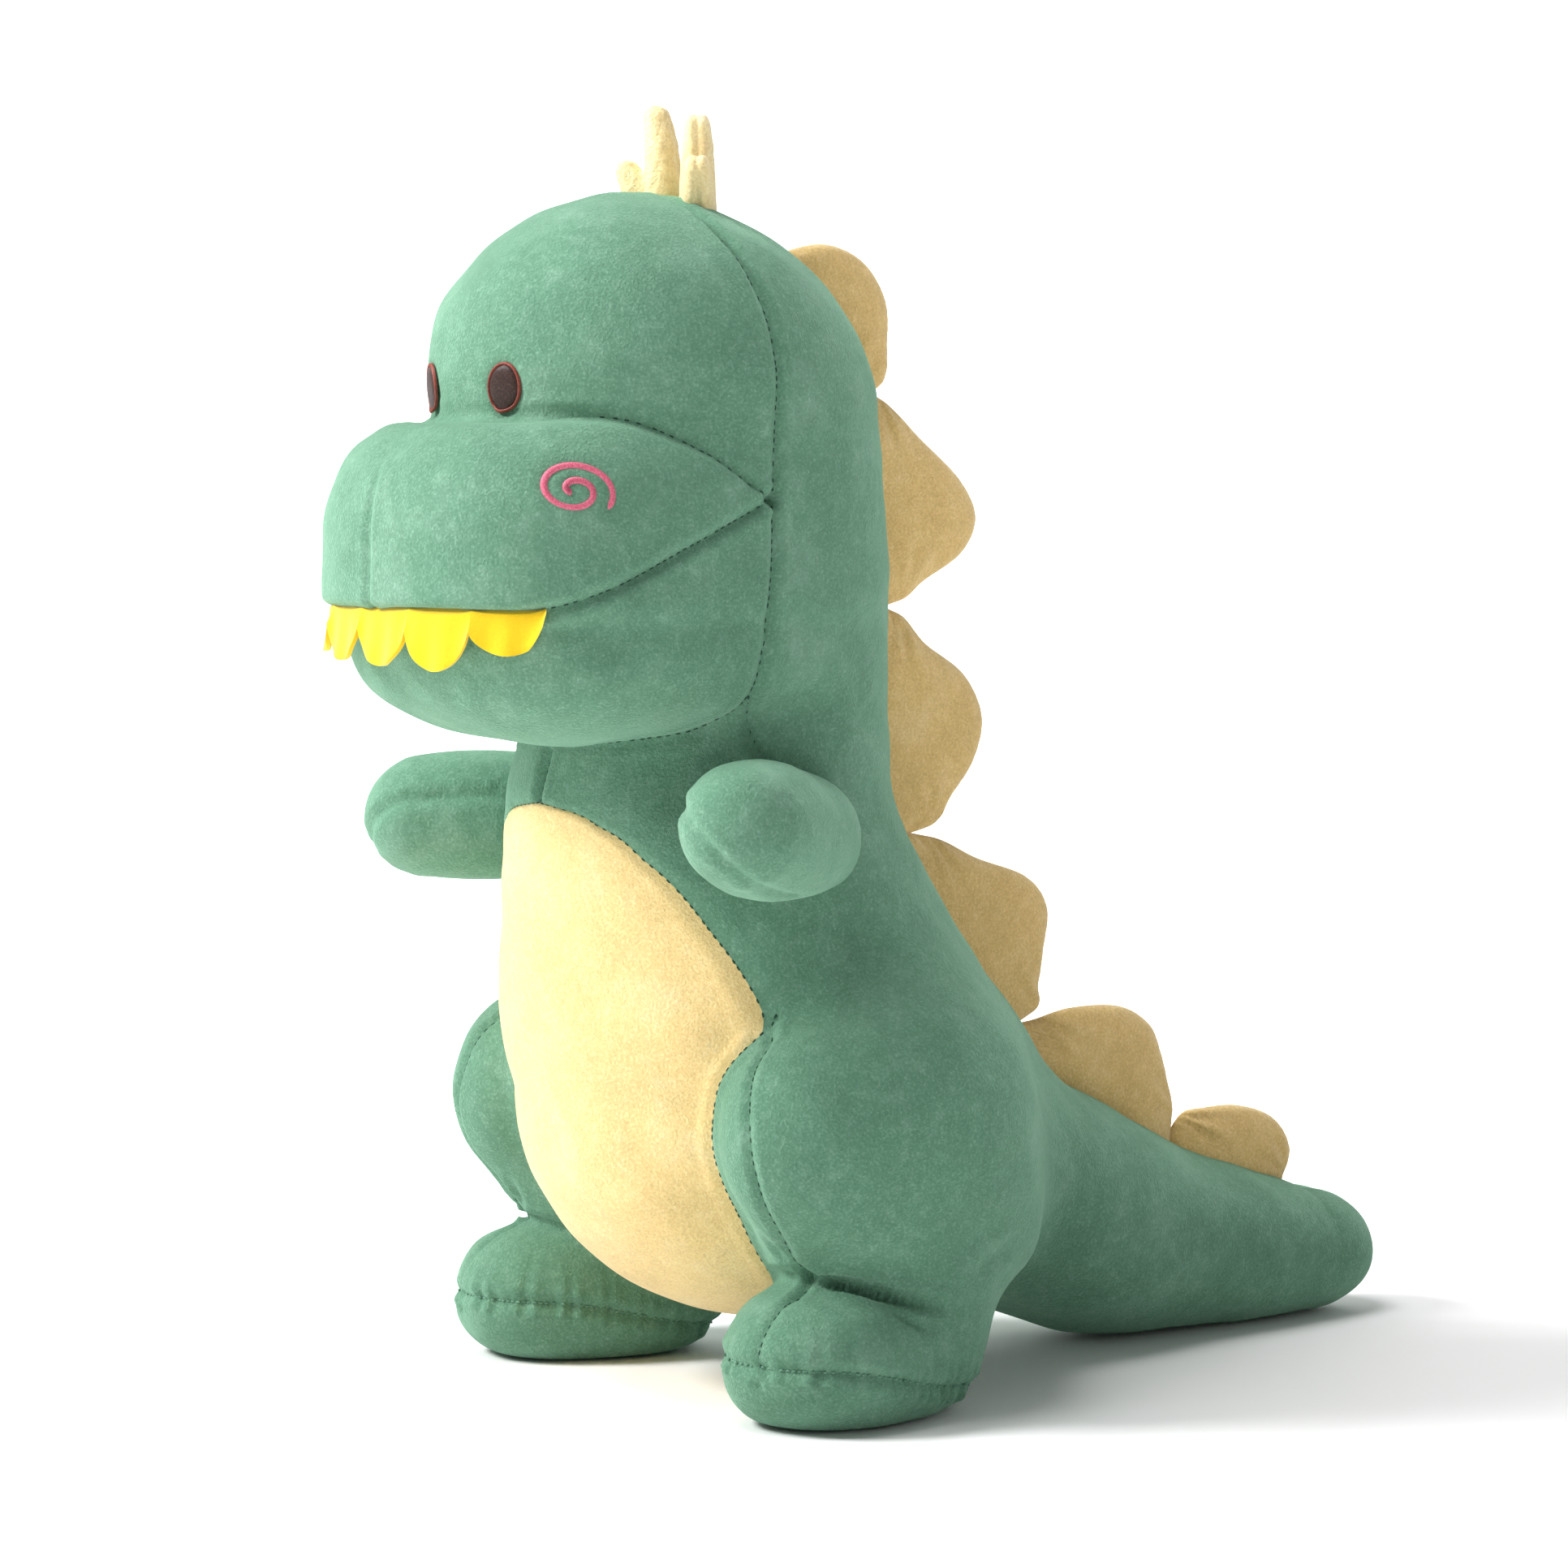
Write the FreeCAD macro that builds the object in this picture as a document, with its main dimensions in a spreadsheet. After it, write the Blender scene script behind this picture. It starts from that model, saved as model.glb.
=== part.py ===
"""Stuffed dinosaur, standing on two feet and its tail, facing -Y.

The frame is +Z up, with its origin on the floor under the middle of the toy and the toy's left side at +X.
Every soft piece is a cloth casing of one thickness with fibre stuffing inside it. The casing of head, trunk
and legs is one hollow shape, cut along its seams into the panels that it is sewn from. The arms, the tail,
the horns and the crest plates are stuffed pieces of their own, each on a hinge at the seam that holds it.
"""
import FreeCAD, Part
import math
import os
from FreeCAD import Placement, Rotation, Vector
from Sketcher import Constraint as constraint

OUT = "parts"
doc = FreeCAD.newDocument("StuffedDinosaur")
sizes = doc.addObject("Spreadsheet::Sheet", "Sizes")
exported = []

# ---------------------------------------------------------------- driving dimensions, in millimetres and degrees
# Fore-and-aft places are measured from a line across the middle of both feet, with +y towards the tail.
REACH = 200.0                   # how far cutters go past the toy, from its middle
WALL_REACH = 20.0               # how far cutters for face details go to either side of the cloth
SIZES = {
    "feet_to_origin": 79.95,    # the feet stand this far in front of the origin
    "fabric": 2.0,              # plush cloth with its pile
    "felt": 1.6,                # the teeth
    "thread": 0.8,              # how far embroidery stands out
    "clearance": 0.5,           # room round each hinged piece
    "seam_y": -25.0,            # the seam over the head and down both sides
    "leg_seam_x": 88.0,         # the seam down the front of each leg
    "sole_seam_height": 14.0,
    "mouth_height": 273.0,
    "cheek_height": 308.0,
    "mouth_corner_y": -105.0,
    "muzzle_base": 225.0, "muzzle_top": 335.0, "muzzle_front": 136.0, "muzzle_width": 74.0,
    "muzzle_back": 12.0, "muzzle_corner": 62.0, "chin_round": 40.0, "nose_round": 22.0,
    "belly_middle": 113.0, "belly_half_height": 91.0, "belly_half_width": 72.0, "belly_reach": 30.0,
    "neck_split": 236.0,        # where head stuffing meets torso stuffing
    "arm_x": 79.0, "arm_y": -20.0, "arm_height": 197.0, "arm_aim": 35.0, "arm_rise": 9.0,
    "arm_root": 22.0, "arm_tip": 26.0, "arm_reach": 40.0,
    "tail_y": 125.0, "tail_height": 57.0, "tail_root": 55.0,
    "horn_x": 11.0, "horn_y": -12.5, "horn_height": 407.0, "horn_turn": 55.0,
    "horn_root": 8.0, "horn_tip": 5.8, "horn_reach": 30.0,
    "prong_root": 6.5, "prong_tip": 4.5, "prong_reach": 18.0, "prong_lean": 42.0,
    "plate_thick": 13.0, "plate_round": 6.0,
    "eye_x": 23.5, "eye_height": 342.0, "eye_half_width": 6.6, "eye_half_height": 8.4,
    "swirl_x": 69.0, "swirl_y": -99.0, "swirl_height": 311.0, "swirl_half_width": 12.0, "swirl_half_height": 8.2,
    "swirl_line": 2.3, "swirl_turn": 24.0,
    "tooth_strip": 9.0,
}

# Level sections of head and trunk: height, centre y, half width, half depth.
TRUNK = {
    "belly_base": (21, 18, 16, 20), "belly_round": (27, 23, 35, 40), "belly_low": (41, 28, 56, 60),
    "seat": (61, 31, 73, 77),
    "hips": (88, 30, 82, 90), "rump": (115, 27, 86, 94), "waist": (143, 14, 81, 84), "ribs": (169, 5, 74, 77),
    "chest": (204, -3, 65, 67), "neck": (228, 1, 60, 63), "throat": (260, -3, 64, 66), "jaw": (284, -8, 67, 70),
    "cheek": (311, -15, 70, 74), "brow": (345, -22, 70, 78), "forehead": (375, -21, 55, 61),
    "crown": (395, -24, 36, 40), "head_top": (407, -20, 12, 14),
}

# Level sections of the left leg: height, centre x, centre y, half width, half length, turn outwards.
LEG = {
    "sole": (0, 80, 1, 27, 41, 15), "welt": (9, 80, 1, 33, 48, 15), "toe": (22, 80, 3, 32, 46, 15),
    "instep": (38, 82, 9, 30, 38, 12), "ankle": (50, 83, 18, 28, 35, 8), "calf": (64, 82, 14, 31, 43, 4),
    "thigh": (92, 79, 6, 36, 56, 0), "hip": (118, 76, 8, 28, 46, 0), "hip_top": (133, 74, 8, 9, 18, 0),
}

# Upright sections across the tail: y, centre height, half width, half height.
TAIL = {
    "thick": (150, 48, 50, 48), "middle": (200, 33.5, 38, 35), "thin": (255, 23.5, 29, 25.5),
    "end": (285, 19, 20, 18), "tip": (298, 18, 9, 8),
}

# Crest plates from the head down to the tail: y and height of the upper root, the lower root and the tip, and
# the tip's radius. The two roots are round too, and the hinge runs through their centres.
PLATE_ROOT = 8.0
PLATES = [
    (40.2, 389.6, 66.7, 353.1, 62, 378, 13.5),
    (66, 334, 70.8, 279, 95, 304, 20),
    (72, 261, 77, 200, 97, 228, 21),
    (85, 181, 120.5, 129.5, 128, 155, 20),
    (134.5, 118, 193.5, 82.7, 184.5, 101, 18.5),
    (211, 75, 255.5, 58.8, 240, 68.5, 11.5),
]

# Felt teeth from the toy's left to its right: width along the lip and depth below it.
TEETH = [(27, 16), (28, 21), (28, 20), (26, 19), (24, 17), (17, 13)]
TOOTH_GAP = 0.4
LIP_GAP = 0.2


# ---------------------------------------------------------------- document helpers
def put_in_sheet(alias, value):
    """Adds one named cell to the sheet."""
    put_in_sheet.row += 1
    sizes.set(f"A{put_in_sheet.row}", alias)
    sizes.set(f"B{put_in_sheet.row}", str(value))
    sizes.setAlias(f"B{put_in_sheet.row}", alias)


put_in_sheet.row = 0


def put_sections(part, table, columns):
    for name, values in table.items():
        for column, value in zip(columns, values):
            put_in_sheet(f"{part}_{name}_{column}", value)


def cell(alias):
    """The value of a cell, for the few shapes that no expression can drive."""
    return float(sizes.get(alias))


def bind(obj, **expressions):
    """Binds properties to the sheet. A double underscore stands for a dot."""
    for key, text in expressions.items():
        obj.setExpression(key.replace("__", "."), text)
    return obj


def place(obj, x="0", y="0", z="0"):
    """Binds an object's place to the sheet, with y measured from the feet."""
    return bind(obj, Placement__Base__x=x, Placement__Base__y=f"{y} - Sizes.feet_to_origin",
                Placement__Base__z=z)


def turned(obj, axis, angle):
    obj.Placement = Placement(Vector(), Rotation(Vector(*axis), angle))
    return obj


def add(kind, label):
    obj = doc.addObject(kind, label)
    obj.Label = label
    return obj


def fuse(label, *shapes):
    obj = add("Part::MultiFuse", label)
    obj.Shapes = list(shapes)
    obj.Refine = False
    return obj


def common(label, *shapes):
    obj = add("Part::MultiCommon", label)
    obj.Shapes = list(shapes)
    obj.Refine = False
    return obj


def cut(label, base, tool):
    obj = add("Part::Cut", label)
    obj.Base = base
    obj.Tool = tool
    obj.Refine = False
    return obj


def mirrored(label, source):
    obj = add("Part::Mirroring", label)
    obj.Source = source
    obj.Normal = Vector(1, 0, 0)
    return obj


def box(label, x, y, z):
    """A cutting box over three (low, high) ranges, given as numbers or cell expressions, y from the feet."""
    obj = add("Part::Box", label)
    bind(obj, Length=f"({x[1]}) - ({x[0]})", Width=f"({y[1]}) - ({y[0]})", Height=f"({z[1]}) - ({z[0]})")
    return place(obj, f"{x[0]}", f"{y[0]}", f"{z[0]}")


def sphere(label, radius, x, y, z):
    obj = add("Part::Sphere", label)
    bind(obj, Radius=radius)
    return place(obj, x, y, z)


def node(label, source):
    """Marks an object as one sub-part to be written out under this name."""
    source.Label = label
    exported.append(source)
    return source


def node_pair(label, left):
    """The left sub-part and its mirror image."""
    node(f"{label}_left", left)
    return node(f"{label}_right", mirrored(f"{label}_right", left))


# ---------------------------------------------------------------- lofted soft forms
def shrunk(expression, middle, half, inset):
    """A height or length drawn towards the middle of its loft, so that the ends move in by the inset."""
    return f"{middle} + ({expression} - {middle}) * (1 - ({inset}) / {half})"


def loft(label, sections):
    obj = add("Part::Loft", label)
    obj.Sections = sections
    obj.Solid = True
    obj.Ruled = True
    return obj


def trunk(label, inset):
    """Head and trunk in one loft, every section drawn in by the inset."""
    heights = [values[0] for values in TRUNK.values()]
    middle = (heights[0] + heights[-1]) / 2
    half = (heights[-1] - heights[0]) / 2
    sections = []
    for name in TRUNK:
        at = f"Sizes.trunk_{name}"
        ring = turned(add("Part::Ellipse", f"{label}_{name}"), (0, 0, 1), 90)
        bind(ring, MajorRadius=f"{at}_depth - ({inset})", MinorRadius=f"{at}_width - ({inset})")
        sections.append(place(ring, "0", f"{at}_y", shrunk(f"{at}_height", middle, half, 2 * inset)))
    return loft(label, sections)


def leg(label, inset):
    """The left thigh, calf and foot in one loft, flat under the sole."""
    heights = [values[0] for values in LEG.values()]
    half = (heights[-1] - heights[0]) / 2
    sections = []
    for name, values in LEG.items():
        at = f"Sizes.leg_{name}"
        ring = turned(add("Part::Ellipse", f"{label}_{name}"), (0, 0, 1), 90 + values[5])
        bind(ring, MajorRadius=f"{at}_length - ({inset})", MinorRadius=f"{at}_width - ({inset})")
        sections.append(place(ring, f"{at}_x", f"{at}_y", shrunk(f"{at}_height", half, half, inset)))
    return loft(label, sections)


def tail(label, inset):
    """The tail behind its round root, flat where it lies on the floor."""
    root = add("Part::Sphere", f"{label}_root")
    root.Angle1 = 0
    turned(root, (1, 0, 0), 90)
    bind(root, Radius=f"Sizes.tail_root - ({inset})")
    place(root, "0", "Sizes.tail_y", "Sizes.tail_height")
    rings = [turned(add("Part::Ellipse", f"{label}_start"), (1, 0, 0), 90)]
    bind(rings[0], MajorRadius=f"Sizes.tail_root - ({inset})", MinorRadius=f"Sizes.tail_root - ({inset})")
    place(rings[0], "0", "Sizes.tail_y", "Sizes.tail_height")
    for name in TAIL:
        at = f"Sizes.tail_{name}"
        ring = turned(add("Part::Ellipse", f"{label}_{name}"), (1, 0, 0), 90)
        bind(ring, MajorRadius=f"{at}_width - ({inset})", MinorRadius=f"{at}_depth - ({inset})")
        back = f"{at}_y - ({inset})" if name == "tip" else f"{at}_y"
        rings.append(place(ring, "0", back, f"{at}_height"))
    whole = fuse(f"{label}_round", root, loft(f"{label}_behind", rings))
    floor = box(f"{label}_floor", (-REACH, REACH), (0, 2 * REACH), (-REACH, inset))
    return cut(label, whole, floor)


# ---------------------------------------------------------------- sketched bodies
def plane_of(body, role):
    return next(f for f in body.Origin.OriginFeatures if f.Role == role)


def sketched_body(label, role):
    """A PartDesign body and an empty sketch on one of its origin planes."""
    body = add("PartDesign::Body", label)
    sketch = body.newObject("Sketcher::SketchObject", f"{label}_outline")
    sketch.AttachmentSupport = [(plane_of(body, role), "")]
    sketch.MapMode = "FlatFace"
    return body, sketch


def name_last(sketch, name, expression):
    """Names the sketch's newest constraint and binds it to the sheet."""
    index = sketch.ConstraintCount - 1
    sketch.renameConstraint(index, name)
    sketch.setExpression(f"Constraints.{name}", expression)


def pad_and_round(body, sketch, length, radius, rounded, middle=False):
    """Pads the sketch and rounds the edges that the function rounded picks. Both sizes are expressions."""
    pad = body.newObject("PartDesign::Pad", f"{body.Name}_pad")
    pad.Profile = sketch
    if middle:
        pad.Midplane = True
    bind(pad, Length=length)
    doc.recompute()
    edges = [f"Edge{i + 1}" for i, edge in enumerate(pad.Shape.Edges) if rounded(edge)]
    fillet = body.newObject("PartDesign::Fillet", f"{body.Name}_round")
    fillet.Base = (pad, edges)
    bind(fillet, Radius=radius)
    body.Tip = fillet
    return fillet


def tangent_points(a, b):
    """Where the outer tangent on the right of the way from circle a to circle b touches each of them."""
    (ax, ay, ar), (bx, by, br) = a, b
    angle = math.atan2(by - ay, bx - ax) - math.acos((ar - br) / math.hypot(bx - ax, by - ay))
    out = Vector(math.cos(angle), math.sin(angle))
    return Vector(ax, ay) + out * ar, Vector(bx, by) + out * br


def plate_body(label, number, inset):
    """One crest plate: three round corners joined by tangent lines, padded and rounded like a small cushion."""
    upper_y, upper_z, lower_y, lower_z, tip_y, tip_z, tip_radius = PLATES[number - 1]
    feet = cell("feet_to_origin")
    corners = [
        ("lower", lower_y - feet, lower_z, PLATE_ROOT), ("tip", tip_y - feet, tip_z, tip_radius),
        ("upper", upper_y - feet, upper_z, PLATE_ROOT),
    ]
    circles = [(y, z, radius - inset) for _, y, z, radius in corners]
    touching = [tangent_points(circles[i], circles[(i + 1) % 3]) for i in range(3)]
    body, sketch = sketched_body(label, "YZ_Plane")
    for i, (y, z, radius) in enumerate(circles):
        arrive, leave = touching[i - 1][1], touching[i][0]
        first, last = (math.atan2(p.y - z, p.x - y) for p in (arrive, leave))
        circle = Part.Circle(Vector(y, z), Vector(0, 0, 1), radius)
        sketch.addGeometry(Part.ArcOfCircle(circle, first, last if last > first else last + 2 * math.pi))
    for first, last in touching:
        sketch.addGeometry(Part.LineSegment(first, last))
    for i, (name, _, _, _) in enumerate(corners):
        at = f"Sizes.plate{number}_{name}"
        sketch.addConstraint(constraint("Tangent", i, 2, 3 + i, 1))
        sketch.addConstraint(constraint("Tangent", 3 + i, 2, (i + 1) % 3, 1))
        sketch.addConstraint(constraint("DistanceX", i, 3, circles[i][0]))
        name_last(sketch, f"{name}_y", f"{at}_y - Sizes.feet_to_origin")
        sketch.addConstraint(constraint("DistanceY", i, 3, circles[i][1]))
        name_last(sketch, f"{name}_height", f"{at}_height")
        sketch.addConstraint(constraint("Radius", i, circles[i][2]))
        name_last(sketch, f"{name}_radius", f"{at}_radius - {inset}")
    pad_and_round(body, sketch, f"Sizes.plate_thick - 2 * {inset}", f"Sizes.plate_round - {inset}",
                  lambda edge: abs(edge.BoundBox.XMax - edge.BoundBox.XMin) < 0.01, middle=True)
    return body


def muzzle(label, inset):
    """Muzzle and chin in one padded body: flat sides, a round front, a deep round chin and a softer nose.
    The inset may be negative, for the layer that embroidery stands out to."""
    width, front, corner = (cell(f"muzzle_{name}") for name in ("width", "front", "corner"))
    width, front, corner = width - inset, front - inset, corner - inset
    back = -cell("muzzle_back") - inset
    centre_x, centre_y = width - corner, corner - front
    body, sketch = sketched_body(label, "XY_Plane")
    points = [Vector(width, back), Vector(-width, back), Vector(-width, centre_y), Vector(-centre_x, -front),
              Vector(centre_x, -front), Vector(width, centre_y)]
    left = Part.Circle(Vector(-centre_x, centre_y), Vector(0, 0, 1), corner)
    right = Part.Circle(Vector(centre_x, centre_y), Vector(0, 0, 1), corner)
    sketch.addGeometry(Part.LineSegment(points[0], points[1]))
    sketch.addGeometry(Part.LineSegment(points[1], points[2]))
    sketch.addGeometry(Part.ArcOfCircle(left, math.pi, 1.5 * math.pi))
    sketch.addGeometry(Part.LineSegment(points[3], points[4]))
    sketch.addGeometry(Part.ArcOfCircle(right, 1.5 * math.pi, 2 * math.pi))
    sketch.addGeometry(Part.LineSegment(points[5], points[0]))
    for first, second in ((0, 1), (5, 0)):
        sketch.addConstraint(constraint("Coincident", first, 2, second, 1))
    for first, second in ((1, 2), (2, 3), (3, 4), (4, 5)):
        sketch.addConstraint(constraint("Tangent", first, 2, second, 1))
    sketch.addConstraint(constraint("Horizontal", 3))
    sketch.addConstraint(constraint("Vertical", 1))
    sketch.addConstraint(constraint("Vertical", 5))
    sketch.addConstraint(constraint("Equal", 2, 4))
    sketch.addConstraint(constraint("Symmetric", 0, 1, 0, 2, -2))
    sketch.addConstraint(constraint("DistanceX", 0, 2, 0, 1, 2 * width))
    name_last(sketch, "width", f"2 * (Sizes.muzzle_width - ({inset}))")
    sketch.addConstraint(constraint("Radius", 2, corner))
    name_last(sketch, "corner", f"Sizes.muzzle_corner - ({inset})")
    sketch.addConstraint(constraint("DistanceY", 3, 1, -1, 1, front))
    name_last(sketch, "front", f"Sizes.muzzle_front - ({inset})")
    sketch.addConstraint(constraint("DistanceY", 0, 1, -1, 1, -back))
    name_last(sketch, "back", f"Sizes.muzzle_back + ({inset})")
    low, high = cell("muzzle_base") + inset, cell("muzzle_top") - inset

    def at_height(edge, height):
        return abs(edge.BoundBox.ZMin - height) < 0.01 and abs(edge.BoundBox.ZMax - height) < 0.01 \
            and edge.BoundBox.YMin < back - 1

    pad_and_round(body, sketch, f"Sizes.muzzle_top - Sizes.muzzle_base - 2 * ({inset})",
                  f"Sizes.chin_round - ({inset})", lambda edge: at_height(edge, 0.0))
    chin = body.Tip
    doc.recompute()
    nose_edges = [f"Edge{i + 1}" for i, edge in enumerate(chin.Shape.Edges) if at_height(edge, high - low)]
    nose = body.newObject("PartDesign::Fillet", f"{label}_nose")
    nose.Base = (chin, nose_edges)
    bind(nose, Radius=f"Sizes.nose_round - ({inset})")
    body.Tip = nose
    return place(body, "0", "0", f"Sizes.muzzle_base + ({inset})")


def side_profile(label, points):
    """A cutter whose outline lies in the side view, points given as (y from the feet, height)."""
    body, sketch = sketched_body(label, "YZ_Plane")
    feet = cell("feet_to_origin")
    corners = [Vector(y - feet, z) for y, z in points]
    for i, corner in enumerate(corners):
        sketch.addGeometry(Part.LineSegment(corner, corners[(i + 1) % len(corners)]))
    pad = body.newObject("PartDesign::Pad", f"{label}_pad")
    pad.Profile = sketch
    pad.Midplane = True
    pad.Length = 2 * REACH
    return body


# ---------------------------------------------------------------- pieces on hinges
def capsule(label, root, tip, reach, inset):
    """A round root and a round tip joined by a cone that touches both, along +Z, root centre at the origin.
    Sizes are cell names. The cone is a revolved sketch because a plain cone would not touch the spheres."""
    root_radius, tip_radius, length = cell(root) - inset, cell(tip) - inset, cell(reach)
    slope = math.asin((root_radius - tip_radius) / length)
    side = Vector(math.cos(slope), math.sin(slope))
    low, high = side * root_radius, side * tip_radius + Vector(0, length)
    body, sketch = sketched_body(label, "XZ_Plane")
    round_root = Part.Circle(Vector(), Vector(0, 0, 1), root_radius)
    round_tip = Part.Circle(Vector(0, length), Vector(0, 0, 1), tip_radius)
    sketch.addGeometry(Part.ArcOfCircle(round_root, -math.pi / 2, slope))
    sketch.addGeometry(Part.LineSegment(low, high))
    sketch.addGeometry(Part.ArcOfCircle(round_tip, slope, math.pi / 2))
    sketch.addGeometry(Part.LineSegment(Vector(0, length + tip_radius), Vector(0, -root_radius)))
    sketch.addConstraint(constraint("Tangent", 0, 2, 1, 1))
    sketch.addConstraint(constraint("Tangent", 1, 2, 2, 1))
    sketch.addConstraint(constraint("Coincident", 2, 2, 3, 1))
    sketch.addConstraint(constraint("Coincident", 3, 2, 0, 1))
    sketch.addConstraint(constraint("Coincident", 0, 3, -1, 1))
    sketch.addConstraint(constraint("PointOnObject", 3, 1, -2))
    sketch.addConstraint(constraint("PointOnObject", 3, 2, -2))
    sketch.addConstraint(constraint("PointOnObject", 2, 3, -2))
    sketch.addConstraint(constraint("Radius", 0, root_radius))
    name_last(sketch, "root", f"Sizes.{root} - {inset}")
    sketch.addConstraint(constraint("Radius", 2, tip_radius))
    name_last(sketch, "tip", f"Sizes.{tip} - {inset}")
    sketch.addConstraint(constraint("DistanceY", 0, 3, 2, 3, length))
    name_last(sketch, "reach", f"Sizes.{reach}")
    turn = body.newObject("PartDesign::Revolution", f"{label}_turn")
    turn.Profile = sketch
    turn.ReferenceAxis = (sketch, ["V_Axis"])
    turn.Angle = 360
    body.Tip = turn
    return body


def aimed(body, x, y, z, direction):
    """Points a capsule's +Z along a direction and puts its root at a place bound to the sheet."""
    body.Placement = Placement(Vector(), Rotation(Vector(0, 0, 1), direction))
    return place(body, x, y, z)


def arm(label, inset):
    aim, rise = math.radians(cell("arm_aim")), math.radians(cell("arm_rise"))
    direction = Vector(math.sin(aim) * math.cos(rise), -math.cos(aim) * math.cos(rise), math.sin(rise))
    body = capsule(label, "arm_root", "arm_tip", "arm_reach", inset)
    return aimed(body, "Sizes.arm_x", "Sizes.arm_y", "Sizes.arm_height", direction)


def horn(label, inset):
    """A tall prong and a short one that leans forwards and outwards from the same root."""
    turn, lean = math.radians(cell("horn_turn")), math.radians(cell("prong_lean"))
    across = Vector(math.cos(turn), -math.sin(turn), 0)
    leaning = across * math.sin(lean) + Vector(0, 0, math.cos(lean))
    tall = capsule(f"{label}_tall", "horn_root", "horn_tip", "horn_reach", inset)
    short = capsule(f"{label}_short", "prong_root", "prong_tip", "prong_reach", inset)
    at = ("Sizes.horn_x", "Sizes.horn_y", "Sizes.horn_height")
    return fuse(label, aimed(tall, *at, Vector(0, 0, 1)), aimed(short, *at, leaning))


# ---------------------------------------------------------------- details on the face
def lip_point(along):
    """Point, outward direction at a distance along the lip from the middle of the nose, to the toy's left."""
    width, front, corner = (cell(f"muzzle_{name}") for name in ("width", "front", "corner"))
    flat = width - corner
    side = 1 if along > 0 else -1
    if abs(along) <= flat:
        return Vector(along, -front, 0), Vector(0, -1, 0)
    angle = (abs(along) - flat) / corner
    outward = Vector(side * math.sin(angle), -math.cos(angle), 0)
    return Vector(side * flat, corner - front, 0) + outward * corner, outward


def teeth(label):
    """A felt strip bent round the lip, its lower edge cut into round teeth that hang over the chin."""
    middle = cell("mouth_height")
    strip = cell("tooth_strip")
    feet = cell("feet_to_origin")
    near, far = cell("clearance"), cell("clearance") + cell("felt")
    along = sum(width for width, _ in TEETH) / 2
    lobes = []
    for width, depth in TEETH:
        point, outward = lip_point(along - width / 2)
        radius = width / 2 - TOOTH_GAP / 2
        low = middle - depth + radius
        centre = Vector(point.x, point.y - feet, low) - outward * WALL_REACH
        lobe = Part.makeCylinder(radius, 2 * WALL_REACH, centre, outward)
        if low < middle:
            across = outward.cross(Vector(0, 0, 1))
            slab = Part.makeBox(2 * radius, 2 * WALL_REACH, middle - low)
            frame = FreeCAD.Matrix(across.x, outward.x, 0, 0, across.y, outward.y, 0, 0, 0, 0, 1, 0)
            slab.Placement = Placement(frame)
            slab.translate(centre - across * radius)
            lobe = lobe.fuse(slab)
        lobes.append(lobe)
        along -= width
    ends = sum(width for width, _ in TEETH) / 2
    band = lip_band(ends, middle - 2 * WALL_REACH, middle - LIP_GAP, near, far)
    upper = lip_band(ends, middle - strip, middle - LIP_GAP, near, far)
    shaped = band.common(lobes[0].multiFuse(lobes[1:])).fuse(upper).removeSplitter()
    obj = add("Part::Feature", label)
    obj.Shape = shaped.Solids[0]
    return obj


def lip_band(ends, low, high, near, far):
    """The part of a wall round the muzzle between two offsets and two heights, as far as the ends of the lip."""
    feet = cell("feet_to_origin")

    def wall(offset):
        edges = []
        flat = cell("muzzle_width") - cell("muzzle_corner")
        for a, b in ((-ends, -flat), (-flat, flat), (flat, ends)):
            first, middle, last = (lip_point(s) for s in (a, (a + b) / 2, b))
            points = [point + outward * offset for point, outward in (first, middle, last)]
            straight = abs(a) <= flat and abs(b) <= flat
            edges.append(Part.LineSegment(points[0], points[2]).toShape() if straight
                         else Part.Arc(*points).toShape())
        return edges

    inner, outer = wall(near), wall(far)
    closing = [Part.LineSegment(inner[i].Vertexes[j].Point, outer[i].Vertexes[j].Point).toShape()
               for i, j in ((0, 0), (-1, -1))]
    face = Part.Face(Part.Wire(Part.__sortEdges__(inner + outer + closing)))
    face.translate(Vector(0, -feet, low))
    return face.extrude(Vector(0, 0, high - low))


def eye(label, outside, skin):
    """A satin-stitched oval that follows the brow, on the toy's left."""
    oval = add("Part::Ellipse", f"{label}_oval")
    turned(oval, (1, 0, 0), 90)
    oval.Placement = Placement(Vector(), Rotation(Vector(1, 0, 0), 90) * Rotation(Vector(0, 0, 1), 90))
    bind(oval, MajorRadius="Sizes.eye_half_height", MinorRadius="Sizes.eye_half_width")
    place(oval, "Sizes.eye_x", f"-{REACH}", "Sizes.eye_height")
    prism = add("Part::Extrusion", f"{label}_prism")
    prism.Base = oval
    prism.Dir = Vector(0, 1, 0)
    prism.LengthFwd = REACH
    prism.Solid = True
    return cut(label, common(f"{label}_raised", prism, outside), skin)


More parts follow.
